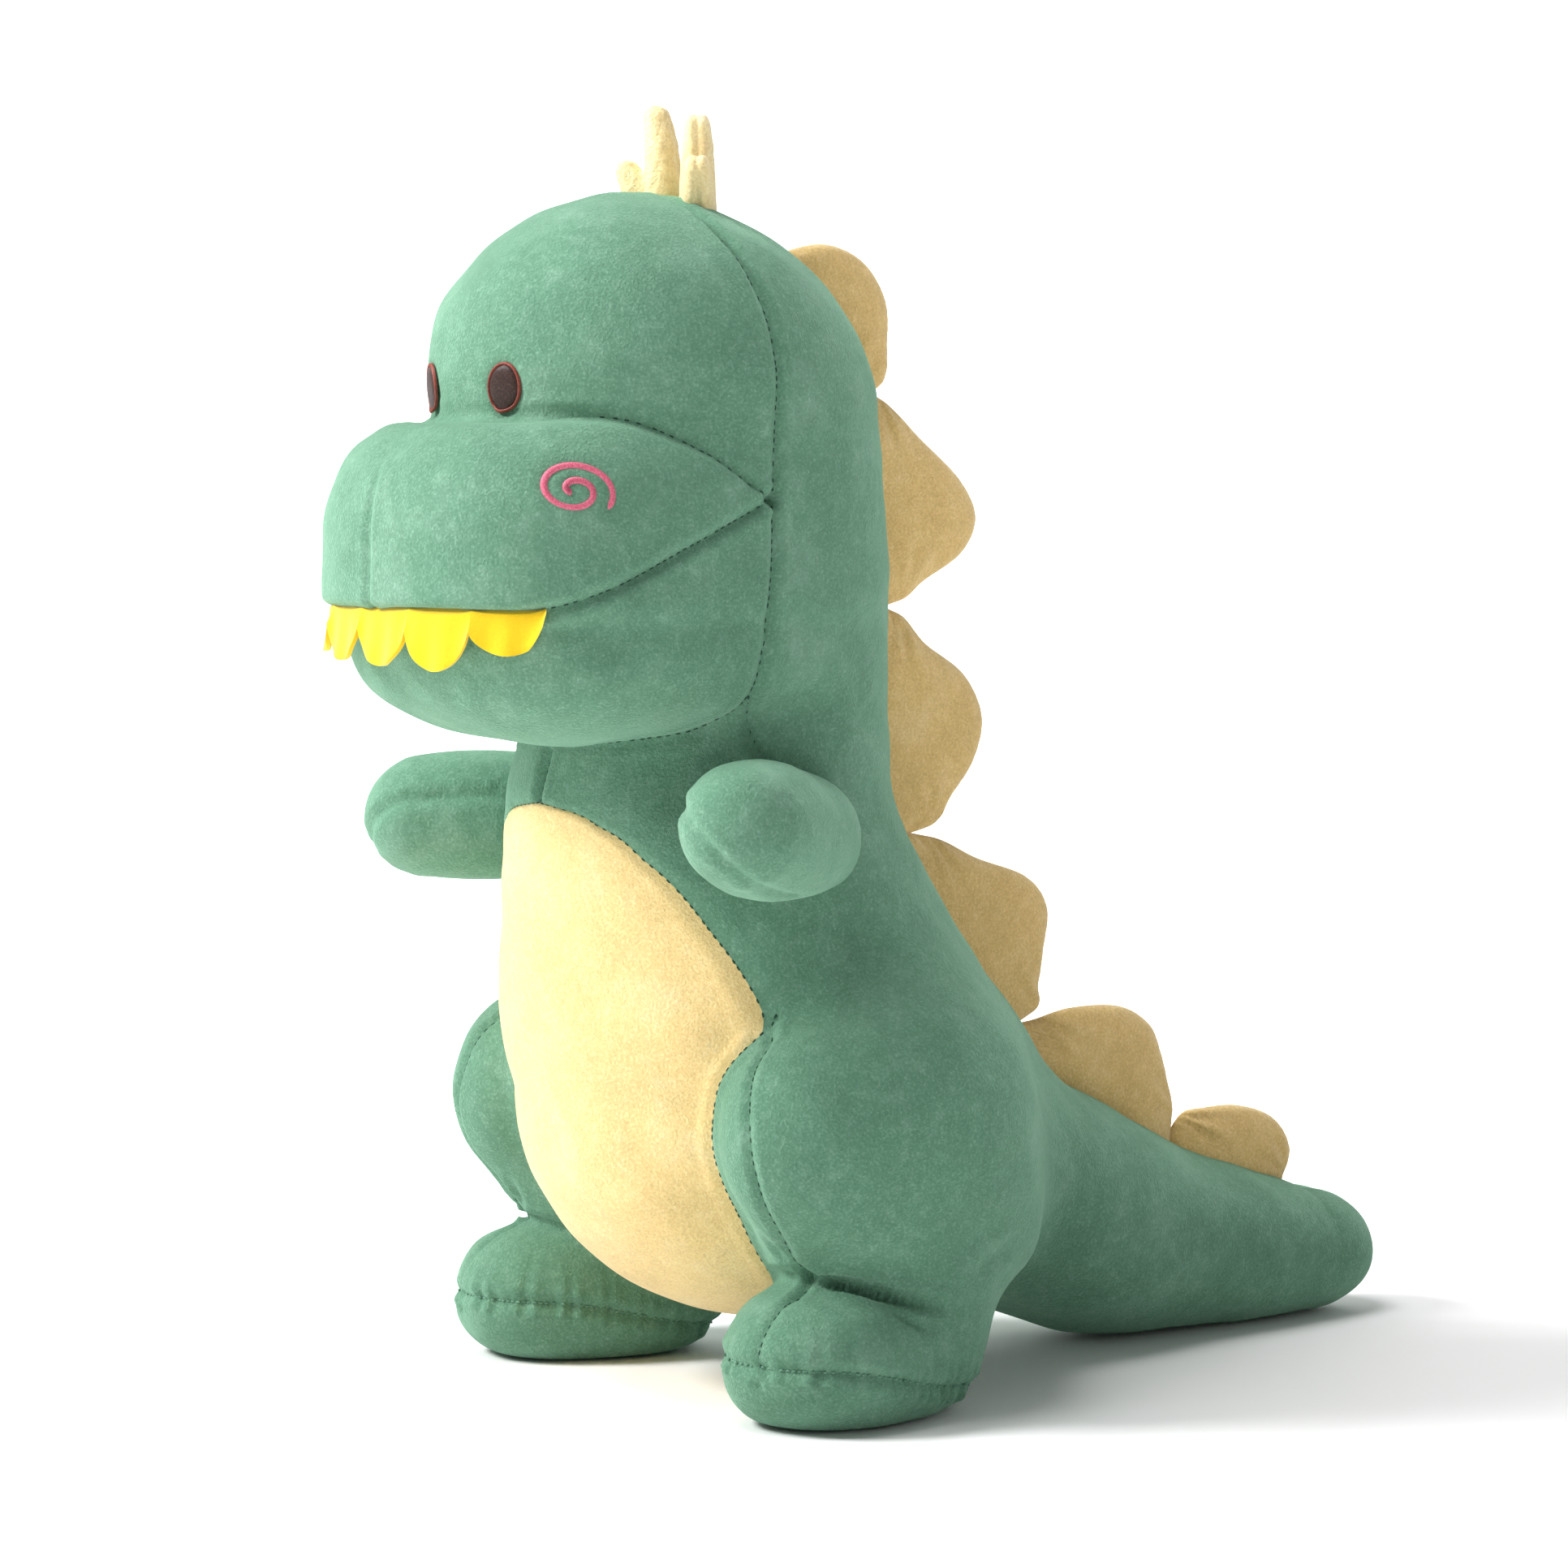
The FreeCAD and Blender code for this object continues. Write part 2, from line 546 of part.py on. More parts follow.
def swirl(label, outside, skin):
    """A spiral line of satin stitch on the toy's left cheek."""
    turns, steps = 1.75, 36
    first_share, first_angle, widening = 0.3, math.radians(-75), 1.15
    half_width, half_height, line = (cell(f"swirl_{n}") for n in ("half_width", "half_height", "line"))

    def spiral(offset):
        """Points of the spiral, moved sideways by the offset."""
        points = []
        for i in range(steps + 1):
            share = first_share + (1 - first_share) * i / steps
            angle = 2 * math.pi * turns * share + first_angle
            reach = share ** widening
            out = Vector(math.cos(angle), math.sin(angle))
            points.append(Vector(half_width * reach * out.x, half_height * reach * out.y) + out * offset)
        return points

    outer, inner = spiral(line / 2), spiral(-line / 2)
    curves = []
    for points in (outer, inner):
        spline = Part.BSplineCurve()
        spline.interpolate(points)
        curves.append(spline.toShape())
    ends = [Part.LineSegment(outer[i], inner[i]).toShape() for i in (0, -1)]
    face = Part.Face(Part.Wire(Part.__sortEdges__(curves + ends)))
    ribbon = face.extrude(Vector(0, 0, 2 * WALL_REACH))
    turn = cell("swirl_turn")
    outward = Vector(math.cos(math.radians(turn)), -math.sin(math.radians(turn)), 0)
    prism = add("Part::Feature", f"{label}_prism")
    prism.Shape = ribbon
    across = Vector(0, 0, 1).cross(outward)
    frame = FreeCAD.Matrix(across.x, 0, outward.x, 0, across.y, 0, outward.y, 0, across.z, 1, outward.z, 0)
    start = Vector(cell("swirl_x"), cell("swirl_y") - cell("feet_to_origin"), cell("swirl_height"))
    start -= outward * WALL_REACH
    prism.Placement = Placement(start, Placement(frame).Rotation)
    return cut(label, common(f"{label}_raised", prism, outside), skin)


# ---------------------------------------------------------------- the toy
for alias, number in SIZES.items():
    put_in_sheet(alias, number)
put_sections("trunk", TRUNK, ("height", "y", "width", "depth"))
put_sections("leg", LEG, ("height", "x", "y", "width", "length"))
put_sections("tail", TAIL, ("y", "height", "width", "depth"))
for index, values in enumerate(PLATES, start=1):
    names = ("upper_y", "upper_height", "lower_y", "lower_height", "tip_y", "tip_height", "tip_radius")
    for alias, number in zip(names, values):
        put_in_sheet(f"plate{index}_{alias}", number)
    put_in_sheet(f"plate{index}_upper_radius", PLATE_ROOT)
    put_in_sheet(f"plate{index}_lower_radius", PLATE_ROOT)
doc.recompute()

FABRIC = SIZES["fabric"]
EMBROIDERED = -SIZES["thread"]

# Head, trunk and legs: the outside of the cloth, and the stuffing inside it.
trunk_skin, trunk_fill = trunk("trunk_skin", 0), trunk("trunk_fill", FABRIC)
muzzle_skin, muzzle_fill = muzzle("muzzle_skin", 0), muzzle("muzzle_fill", FABRIC)
leg_skin, leg_fill = leg("leg_skin", 0), leg("leg_fill", FABRIC)
leg_skin_right, leg_fill_right = mirrored("leg_skin_right", leg_skin), mirrored("leg_fill_right", leg_fill)
outside = fuse("outside", trunk_skin, muzzle_skin, leg_skin, leg_skin_right)
inside = fuse("inside", trunk_fill, muzzle_fill, leg_fill, leg_fill_right)

# Sockets that the roots of the hinged pieces turn in.
CLEAR = "Sizes.clearance"
arm_socket = sphere("arm_socket", f"Sizes.arm_root + {CLEAR}", "Sizes.arm_x", "Sizes.arm_y", "Sizes.arm_height")
horn_socket = sphere("horn_socket", f"Sizes.horn_root + {CLEAR}", "Sizes.horn_x", "Sizes.horn_y",
                     "Sizes.horn_height")
tail_socket = sphere("tail_socket", f"Sizes.tail_root + {CLEAR}", "0", "Sizes.tail_y", "Sizes.tail_height")
sockets = fuse("sockets", arm_socket, mirrored("arm_socket_right", arm_socket), horn_socket,
               mirrored("horn_socket_right", horn_socket), tail_socket)
filling = cut("filling", inside, sockets)

# Regions that the casing is cut into. They reach a little past the cloth, so that no cut runs along its face.
SEAM, SOLE, LEG_SEAM = "Sizes.seam_y", "Sizes.sole_seam_height", "Sizes.leg_seam_x"
MOUTH, NECK = "Sizes.mouth_height", "Sizes.neck_split"
TOP = 460.0                     # above the crown
PAST = -0.6                     # inset that grows a form outwards, past its own face
below_mouth = side_profile("below_mouth", [
    (-REACH, REACH), (cell("seam_y"), REACH), (cell("seam_y"), cell("cheek_height")),
    (cell("mouth_corner_y"), cell("mouth_height")), (-REACH, cell("mouth_height"))])
muzzle_reach = muzzle("muzzle_reach", PAST)
before_seam = box("before_seam", (-REACH, REACH), (-REACH, SEAM), (REACH, TOP))
brow_box = box("brow_box", (-REACH, REACH), (-REACH, SEAM), (MOUTH, TOP))
head_front = fuse("head_front", brow_box, common("face_reach", muzzle_reach, before_seam))
leg_reach = leg("leg_reach", PAST)
leg_reach_right = mirrored("leg_reach_right", leg_reach)
oval_belly = add("Part::Ellipse", "belly_oval")
oval_belly.Placement = Placement(Vector(), Rotation(Vector(1, 0, 0), 90) * Rotation(Vector(0, 0, 1), 90))
bind(oval_belly, MajorRadius="Sizes.belly_half_height", MinorRadius="Sizes.belly_half_width")
place(oval_belly, "0", f"-{REACH}", "Sizes.belly_middle")
belly_prism = add("Part::Extrusion", "belly_prism")
belly_prism.Base = oval_belly
belly_prism.Dir = Vector(0, 1, 0)
bind(belly_prism, LengthFwd=f"{REACH} + Sizes.belly_reach")
belly_prism.Solid = True


def cloth(label, piece, socket=None):
    """The casing inside a solid piece of the outside, with the socket of a hinged piece taken out."""
    shell = cut(f"{label}_cloth", piece, inside)
    return cut(f"{label}_open", shell, socket) if socket else shell


head_piece = common("head_piece", outside, head_front)
muzzle_piece = common("muzzle_piece", head_piece, muzzle_reach)
crown_piece = cut("crown_piece", head_piece, muzzle_reach)
body_piece = cut("body_piece", outside, head_front)
legs_reach = fuse("legs_reach", leg_reach, leg_reach_right)
belly_piece = cut("belly_piece", common("belly_front", body_piece, belly_prism), legs_reach)
node("jaw_panel", cloth("jaw", common("jaw_piece", muzzle_piece, below_mouth)))
node("muzzle_panel", cloth("muzzle_upper", cut("upper_piece", muzzle_piece, below_mouth)))
node("crown_panel", cloth("crown", crown_piece, sockets))
node("belly_panel", cloth("belly", belly_piece))

BELOW = -5.0                    # under the floor
CHEST_LOW = 20.0                # inside the crotch, below every chest panel
LEG_INNER_X = 20.0              # between the legs, clear of both
LEG_PANEL_BACK, LEG_PANEL_TOP = 20.0, 140.0
left_side = box("left_side", (0, REACH), (-REACH, REACH), (BELOW, TOP))
left_leg_piece = common("left_leg_piece", body_piece, left_side, leg_reach)
sole_slab = box("sole_slab", (LEG_INNER_X, REACH), (-REACH, REACH), (BELOW, SOLE))
inner_leg = box("inner_leg", (LEG_INNER_X, LEG_SEAM), (-REACH, LEG_PANEL_BACK), (SOLE, LEG_PANEL_TOP))
node_pair("sole", cloth("sole", common("sole_piece", left_leg_piece, sole_slab)))
node_pair("inner_leg_panel", cloth("inner_leg", common("inner_leg_piece", left_leg_piece, inner_leg)))
green_piece = cut("green_piece", cut("body_less_belly", body_piece, belly_prism), legs_reach)
chest_box = box("chest_box", (0, REACH), (-REACH, SEAM), (CHEST_LOW, MOUTH))
node_pair("chest_panel", cloth("chest", common("chest_piece", green_piece, chest_box), sockets))
outer_leg = cut("outer_leg", cut("above_sole", left_leg_piece, sole_slab), inner_leg)
back_box = box("back_box", (0, REACH), (SEAM, REACH), (0, TOP))
side_piece = fuse("side_piece", common("back_piece", green_piece, back_box), outer_leg)
node_pair("side_panel", cloth("side", side_piece, sockets))

head_box = box("head_box", (-REACH, REACH), (-REACH, REACH), (NECK, TOP))
node("head_stuffing", common("head_filling", filling, head_box))
leg_outside_trunk = cut("leg_outside_trunk", cut("leg_filling", leg_fill, trunk_fill), sockets)
node_pair("leg_stuffing", leg_outside_trunk)
torso_box = box("torso_box", (-REACH, REACH), (-REACH, REACH), (0, NECK))
torso_fill = common("torso_fill", trunk_fill, torso_box)
node("torso_stuffing", cut("torso_filling", torso_fill, sockets))

# Arms, each with an upper and a lower panel.
arm_skin, arm_fill = arm("arm_skin", 0), arm("arm_fill", FABRIC)
arm_casing = cut("arm_casing", arm_skin, arm_fill)
above_arm_seam = add("Part::Box", "above_arm_seam")
bind(above_arm_seam, Length=f"2 * {REACH}", Width=f"2 * {REACH}", Height=f"{REACH}")
above_arm_seam.Placement = Placement(Vector(), Rotation(Vector(0, 0, 1), -SIZES["arm_aim"]))
seam_corner = above_arm_seam.Placement.Rotation.multVec(Vector(REACH, REACH, 0))
place(above_arm_seam, f"Sizes.arm_x - {seam_corner.x}", f"Sizes.arm_y - {seam_corner.y}", "Sizes.arm_height")
node_pair("arm_upper_panel", common("arm_upper_cloth", arm_casing, above_arm_seam))
node_pair("arm_lower_panel", cut("arm_lower_cloth", arm_casing, above_arm_seam))
node_pair("arm_stuffing", arm_fill)

# Tail, its casing seamed down the middle.
tail_skin, tail_fill = tail("tail_skin", 0), tail("tail_fill", FABRIC)
tail_casing = cut("tail_casing", tail_skin, tail_fill)
left_half = box("left_half", (0, REACH), (0, 2 * REACH), (BELOW, REACH))
node_pair("tail_panel", common("tail_cloth", tail_casing, left_half))
node("tail_stuffing", tail_fill)

# Horns and crest plates, each a casing round its stuffing.
horn_skin, horn_fill = horn("horn_skin", 0), horn("horn_fill", FABRIC)
node_pair("horn_casing", cut("horn_cloth", horn_skin, horn_fill))
node_pair("horn_stuffing", horn_fill)
for index in range(1, len(PLATES) + 1):
    plate_skin = plate_body(f"plate_{index}_skin", index, 0)
    plate_fill = plate_body(f"plate_{index}_fill", index, FABRIC)
    node(f"crest_plate_{index}_casing", cut(f"plate_{index}_cloth", plate_skin, plate_fill))
    node(f"crest_plate_{index}_stuffing", plate_fill)

# Face details.
trunk_raised, muzzle_raised = trunk("trunk_raised", EMBROIDERED), muzzle("muzzle_raised", EMBROIDERED)
node_pair("eye_embroidery", eye("eye_thread", trunk_raised, outside))
node_pair("cheek_swirl", swirl("swirl_thread", muzzle_raised, muzzle_skin))
node("felt_teeth", teeth("teeth_strip"))

doc.recompute()


# ---------------------------------------------------------------- checks and output
def faults():
    """Every object that failed, and every sub-part that is not a sound solid."""
    found = [f"{o.Label}: {o.State}" for o in doc.Objects if {"Invalid", "Error"} & set(o.State)]
    for obj in exported:
        shape = obj.Shape
        if shape.isNull() or not shape.isValid() or not shape.Solids:
            found.append(f"{obj.Label} has no valid shape")
    return found


problems = faults()
if problems:
    raise SystemExit("part.py failed:\n" + "\n".join(problems))
os.makedirs(OUT, exist_ok=True)
for obj in exported:
    solids = obj.Shape.Solids
    shape = solids[0] if len(solids) == 1 else Part.makeCompound(solids)
    shape.exportStep(os.path.join(OUT, f"{obj.Label}.step"))
    print(f"{obj.Label}: {len(solids)} solid(s), {shape.Volume / 1000:.1f} cm3")
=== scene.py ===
"""Looks of the stuffed dinosaur: sewn plush panels over one soft form, stuffed crest, horns and arms,
felt teeth and embroidery, all in the CAD frame and in metres.

The soft form is a smooth field, below zero inside the toy. It is meshed once and cut along its seams.
Points inside the functions of the form use y measured from the middle of the feet.
"""
import math

import bmesh
import bpy
import numpy as np
import openvdb
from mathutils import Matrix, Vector


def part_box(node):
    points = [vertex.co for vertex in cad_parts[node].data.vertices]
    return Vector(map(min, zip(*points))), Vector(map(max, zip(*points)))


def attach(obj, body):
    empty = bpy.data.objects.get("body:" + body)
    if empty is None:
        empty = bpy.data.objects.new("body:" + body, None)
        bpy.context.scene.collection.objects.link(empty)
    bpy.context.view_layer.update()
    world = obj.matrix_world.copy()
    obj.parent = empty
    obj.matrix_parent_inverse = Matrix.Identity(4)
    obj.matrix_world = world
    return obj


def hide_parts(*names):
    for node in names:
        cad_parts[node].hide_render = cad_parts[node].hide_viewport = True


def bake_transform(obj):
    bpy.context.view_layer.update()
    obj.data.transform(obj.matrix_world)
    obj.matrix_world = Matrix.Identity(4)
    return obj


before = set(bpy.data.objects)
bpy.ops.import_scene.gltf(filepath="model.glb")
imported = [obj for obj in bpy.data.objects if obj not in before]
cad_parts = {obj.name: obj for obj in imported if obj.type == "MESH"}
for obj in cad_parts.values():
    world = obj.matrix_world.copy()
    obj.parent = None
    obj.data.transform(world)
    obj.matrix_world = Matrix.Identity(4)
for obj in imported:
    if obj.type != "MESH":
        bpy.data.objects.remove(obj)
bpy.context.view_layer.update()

sole_low, sole_high = (np.array(corner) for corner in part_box("sole_left"))
FEET_Y = float(sole_low[1] + sole_high[1]) / 2 - 0.001    # the middle of the feet in the CAD frame
FOOT_X = 0.080
SPLAY = math.radians(15)


# ---- curves and blends
def curve(value, knots):
    """A smooth curve through (x, y) knots, flat outside them."""
    xs, ys = np.array(knots, dtype=float).T
    slopes = np.gradient(ys, xs)
    i = np.clip(np.searchsorted(xs, value) - 1, 0, len(xs) - 2)
    step = xs[i + 1] - xs[i]
    t = np.clip((value - xs[i]) / step, 0, 1)
    return ((1 + 2 * t) * (1 - t) ** 2 * ys[i] + t * (1 - t) ** 2 * step * slopes[i]
            + t * t * (3 - 2 * t) * ys[i + 1] + t * t * (t - 1) * step * slopes[i + 1])


def table_curves(value, table):
    """Smooth curves through each later column of a table against its first."""
    places, *columns = np.array(table, dtype=float).T
    return [curve(value, np.column_stack([places, column])) for column in columns]


def rise(value, low, high):
    """0 below low, 1 above high, smooth between."""
    t = np.clip((value - low) / (high - low), 0, 1)
    return t * t * (3 - 2 * t)


def union(a, b, soft):
    """Joins two fields with a fillet of about the soft distance."""
    h = np.clip(0.5 + 0.5 * (b - a) / soft, 0, 1)
    return b + (a - b) * h - soft * h * (1 - h)


def overlap(a, b, soft):
    """What two fields share, with its edge rounded."""
    return -union(-a, -b, soft)


def rounded(dx, dy, dz, a, b, c, power=2.0, upright=None):
    """Distance, near enough, to an ellipsoid or rounded box from offsets and half sizes. The powers say how
    boxy it is in plan and, if given, upright."""
    upright = upright or power
    plan = (np.abs(dx / a) ** power + np.abs(dy / b) ** power) ** (upright / power)
    k0 = (plan + np.abs(dz / c) ** upright) ** (1 / upright)
    k1 = np.sqrt((dx / a ** 2) ** 2 + (dy / b ** 2) ** 2 + (dz / c ** 2) ** 2) + 1e-6
    return np.minimum(k0 * (k0 - 1) / k1, 0.2)


# ---- the soft form
# Height, half width, half depth and the middle's y.
PILLAR = [(0.103, 0.085, 0.092, 0.026), (0.122, 0.0855, 0.092, 0.022), (0.143, 0.081, 0.085, 0.014),
          (0.169, 0.074, 0.077, 0.005), (0.204, 0.0655, 0.067, -0.004), (0.228, 0.062, 0.064, -0.002),
          (0.260, 0.0645, 0.066, -0.005), (0.284, 0.068, 0.070, -0.010), (0.311, 0.0705, 0.074, -0.016),
          (0.340, 0.071, 0.078, -0.0235)]
# The tail's y, half width, half height and the middle's height.
TAIL = [(0.060, 0.062, 0.046, 0.074), (0.110, 0.057, 0.048, 0.066), (0.150, 0.050, 0.0460, 0.0500),
        (0.200, 0.0390, 0.0355, 0.0345), (0.240, 0.0320, 0.0285, 0.0270), (0.266, 0.0275, 0.0240, 0.0225)]
TAIL_START, TAIL_END = 0.080, 0.266


def pillar(x, y, z):
    """Trunk, neck and the back of the head."""
    low, high = PILLAR[0][0], PILLAR[-1][0]
    level = np.clip(z, low, high)
    width, depth, middle = table_curves(level, PILLAR)
    above = z - level
    height = np.where(z < low, 0.081, 0.070)
    lean = 0.16 * np.maximum(above, 0)
    return rounded(x, y - middle + lean, above, width, depth, height)


def muzzle(x, y, z):
    """The boxy upper muzzle, with a flat top and a nearly upright front down to the lip."""
    up = z - 0.285
    upper = rounded(x, y + 0.050, up, 0.0755, 0.0865, 0.0538, 2.6, 3.4)
    lower = rounded(x, y + 0.050, up, 0.0755, 0.0865, 0.0185, 2.6, 6.0)
    return np.where(up > 0, upper, lower)


def jaw(x, y, z):
    """The rounded box below the mouth."""
    return rounded(x, y + 0.045, z - 0.268, 0.0735, 0.0795, 0.0430, 2.9, 2.9)


def foot(x, y, z):
    """The left foot, and by |x| both, turned outwards."""
    side = np.abs(x) - FOOT_X
    across = side * math.cos(SPLAY) + y * math.sin(SPLAY)
    along = -side * math.sin(SPLAY) + y * math.cos(SPLAY)
    return rounded(across, along - 0.001, z - 0.021, 0.0335, 0.0485, 0.0275, 2.35)


def thigh(x, y, z):
    """Both legs above the feet: a full thigh, the calf and the heel."""
    side = np.abs(x)
    upper = rounded(side - 0.083, y - 0.008, z - 0.096, 0.0365, 0.056, 0.0425, 2.1)
    calf = rounded(side - 0.075, y - 0.027, z - 0.062, 0.0315, 0.050, 0.034)
    heel = rounded(side - 0.080, y - 0.0225, z - 0.040, 0.0275, 0.0335, 0.044)
    return union(union(upper, calf, 0.020), heel, 0.010)


def tail(x, y, z):
    """The tail, tapering backwards and down to the floor."""
    place = np.clip(y, TAIL_START, TAIL_END)
    width, half, middle = table_curves(place, TAIL)
    return rounded(x, y - place, z - middle, width, 0.0325, half)


def form(x, y, z):
    """The whole skin: negative inside, in metres, with y from the feet."""
    head = union(pillar(x, y, z), union(muzzle(x, y, z), jaw(x, y, z), 0.004), 0.005)
    body = union(head, tail(x, y, z), 0.030)
    soft = 0.010 + 0.034 * rise(y, -0.030, 0.030)
    body = union(body, thigh(x, y, z), soft)
    body = union(body, foot(x, y, z), 0.0055)
    return overlap(body, -z, 0.004)


def slope(field, points):
    """The field's unit gradient at each point, and how steep the field is there."""
    step = 0.0004
    parts = []
    for axis in range(3):
        ahead, behind = points.copy(), points.copy()
        ahead[:, axis] += step
        behind[:, axis] -= step
        parts.append(field(*ahead.T) - field(*behind.T))
    gradient = np.stack(parts, axis=1)
    size = np.linalg.norm(gradient, axis=1, keepdims=True)
    return gradient / np.maximum(size, 1e-9), size[:, 0] / (2 * step)


def settle(points, field, rounds=3):
    """Moves points onto the field's surface."""
    for _ in range(rounds):
        normal, steep = slope(field, points)
        miss = field(*points.T) / np.maximum(steep, 0.2)
        points = points - normal * np.clip(miss, -0.002, 0.002)[:, None]
    return points


# ---- seams, each zero along its line
def seam_face(x, y, z):
    """Over the head and down its sides, then forwards under the jaw: below zero in front."""
    sway = -0.024 + 0.004 * np.sin((z - 0.30) * 30)
    under = (jaw(x, y, z) - pillar(x, y, z)) - 3.0 * np.maximum(0, z - 0.258)
    return overlap(y - sway, np.clip(under, -0.05, 0.05), 0.018)


# Heights of the seams on the head, against the distance in front of the feet.
BROW_LINE = [(-0.01, 0.300), (0.024, 0.308), (0.047, 0.3235), (0.071, 0.334), (0.100, 0.335), (0.14, 0.335)]
MOUTH_LINE = [(0.0, 0.318), (0.024, 0.308), (0.060, 0.292), (0.092, 0.2775), (0.112, 0.271), (0.14, 0.270)]


def seam_brow(x, y, z):
    """Between crown and muzzle: above zero on the crown."""
    return z - curve(-y, BROW_LINE)


def seam_mouth(x, y, z):
    """Between muzzle and jaw: above zero on the muzzle."""
    return z - curve(-y, MOUTH_LINE)


# Half width of the belly panel against height.
BELLY_EDGE = [(-0.02, 0.050), (0.060, 0.066), (0.100, 0.074), (0.132, 0.0725), (0.162, 0.061),
              (0.187, 0.0435), (0.198, 0.029), (0.2035, 0.012), (0.206, -0.010)]


def seam_belly(x, y, z):
    """Round the belly panel: below zero on it."""
    outline = (np.abs(x) - curve(z, BELLY_EDGE)) * 0.85
    crease = (pillar(x, y, z) - thigh(x, y, z)) + 0.0015
    behind = y - curve(z, [(0.0, 0.014), (0.06, 0.016), (0.10, 0.030), (0.2, 0.05)])
    feet = pillar(x, y, z) - foot(x, y, z)
    return np.maximum(np.maximum(outline, crease), np.maximum(behind, feet))


def seam_leg(x, y, z):
    """Down the front of each leg and over the foot to the toe: below zero on the inner side."""
    line = curve(z, [(0.045, 0.0845), (0.060, 0.0860), (0.080, 0.0905), (0.100, 0.0900), (0.118, 0.0835),
                     (0.134, 0.0740)])
    on_foot = FOOT_X + 0.001 - y * math.tan(SPLAY)
    return np.abs(x) - (line + (on_foot - line) * rise(-z, -0.054, -0.046))


def seam_neck(x, y, z):
    """Down each side of the neck, from under the jaw to the arm."""
    line = curve(z, [(0.170, -0.008), (0.200, -0.012), (0.2245, -0.021), (0.243, -0.030), (0.260, -0.040)])
    return y - line


def seam_sole(x, y, z):
    """Round each foot above its sole: below zero on the sole."""
    return z - curve(y, [(-0.050, 0.0235), (-0.020, 0.0215), (0.0, 0.0170), (0.020, 0.0120), (0.045, 0.0085)])


# ---- lines of embroidery
def onto_skin(points, direction):
    """Slides points along a direction until they meet the skin from outside."""
    points = np.array(points, dtype=float)
    direction = np.array(direction, dtype=float)
    direction /= np.linalg.norm(direction)
    for _ in range(40):
        gap = form(*points.T)
        points = points + direction * np.clip(gap, -0.004, 0.004)[:, None]
    return points


EYE_AT = np.array([0.0225, 0.0, 0.3445])
EYE_HALF = (0.0057, 0.0077)
EYE_SLANT = math.radians(8)


def eye_oval(sign, share, turn):
    """A point of the eye's oval in front of the face: share of the way out, at a turn round it."""
    u, v = EYE_HALF[0] * share * math.cos(turn), EYE_HALF[1] * share * math.sin(turn)
    leaning_u = u * math.cos(EYE_SLANT) + v * math.sin(EYE_SLANT)
    leaning_v = -u * math.sin(EYE_SLANT) + v * math.cos(EYE_SLANT)
    return (sign * (EYE_AT[0] + leaning_u), -0.118, EYE_AT[2] + leaning_v)


def eye_outline(sign, count=140):
    turns = np.linspace(0, 2 * math.pi, count, endpoint=False)
    return onto_skin([eye_oval(sign, 1.03, turn) for turn in turns], (0, 1, 0))


def swirl_line(sign, count=300):
    """A spiral on the cheek, its outer end hooking down towards the back."""
    centre_y, centre_z = -0.0985, 0.3112
    share = np.linspace(0.0, 1.0, count)
    angle = math.radians(590) - share * 2 * math.pi * 1.75
    reach = 0.12 + 0.88 * share
    across, up = 0.0125 * reach * np.cos(angle), 0.0098 * reach * np.sin(angle)
    flat = np.stack([np.full(count, sign * 0.095), centre_y + across, centre_z + up], axis=1)
    return onto_skin(flat, (-sign, 0, 0))


PRESSED = [(eye_outline(1), 0.0008, 0.0014), (swirl_line(1), 0.0007, 0.0020)]


# ---- small relief
def groove(distance, depth, width):
    """A stitched valley with slightly puffed banks."""
    near = np.abs(distance) / width
    return -depth * np.exp(-near ** 1.6) + 0.22 * depth * np.exp(-((near - 2.1) / 0.9) ** 2)


def fold(points, start, middle, end, depth, width):
    """A crease along a bent line that fades at both ends."""
    t = np.linspace(0, 1, 24)[:, None]
    line = (1 - t) ** 2 * np.array(start) + 2 * t * (1 - t) * np.array(middle) + t * t * np.array(end)
    centre = line.mean(axis=0)
    reach = np.linalg.norm(line - centre, axis=1).max() + 4 * width
    result = np.zeros(len(points))
    close = np.linalg.norm(points - centre, axis=1) < reach
    gaps = np.linalg.norm(points[close, None, :] - line[None], axis=2)
    nearest = gaps.argmin(axis=1)
    strength = np.sin(np.pi * np.clip(0.18 + 0.82 * t[nearest, 0], 0, 1))
    result[close] = groove(gaps[np.arange(len(nearest)), nearest], depth, width) * strength
    return result


def sunk_line(points, line, depth, width):
    """A dent along a line of embroidery."""
    centre = line.mean(axis=0)
    reach = np.linalg.norm(line - centre, axis=1).max() + 4 * width
    close = np.nonzero(np.linalg.norm(points - centre, axis=1) < reach)[0]
    result = np.zeros(len(points))
    for first in range(0, len(close), 4000):
        part = close[first:first + 4000]
        gap = np.linalg.norm(points[part, None, :] - line[None, ::3], axis=2).min(axis=1)
        result[part] = -depth * np.exp(-(gap / width) ** 2)
    return result


def soft_noise(points, scale, seed):
    """Smooth lumps from a few sums of turned sine waves, about one in size."""
    local = np.random.default_rng(seed)
    total = np.zeros(len(points))
    for _ in range(7):
        direction = local.normal(size=3)
        direction /= np.linalg.norm(direction)
        wavelength = scale * local.uniform(0.7, 1.5)
        total += np.sin(points @ direction * 2 * math.pi / wavelength + local.uniform(0, 6.28))
    return total / 3.5


# ---- meshing and cutting
VOXEL = 0.0014


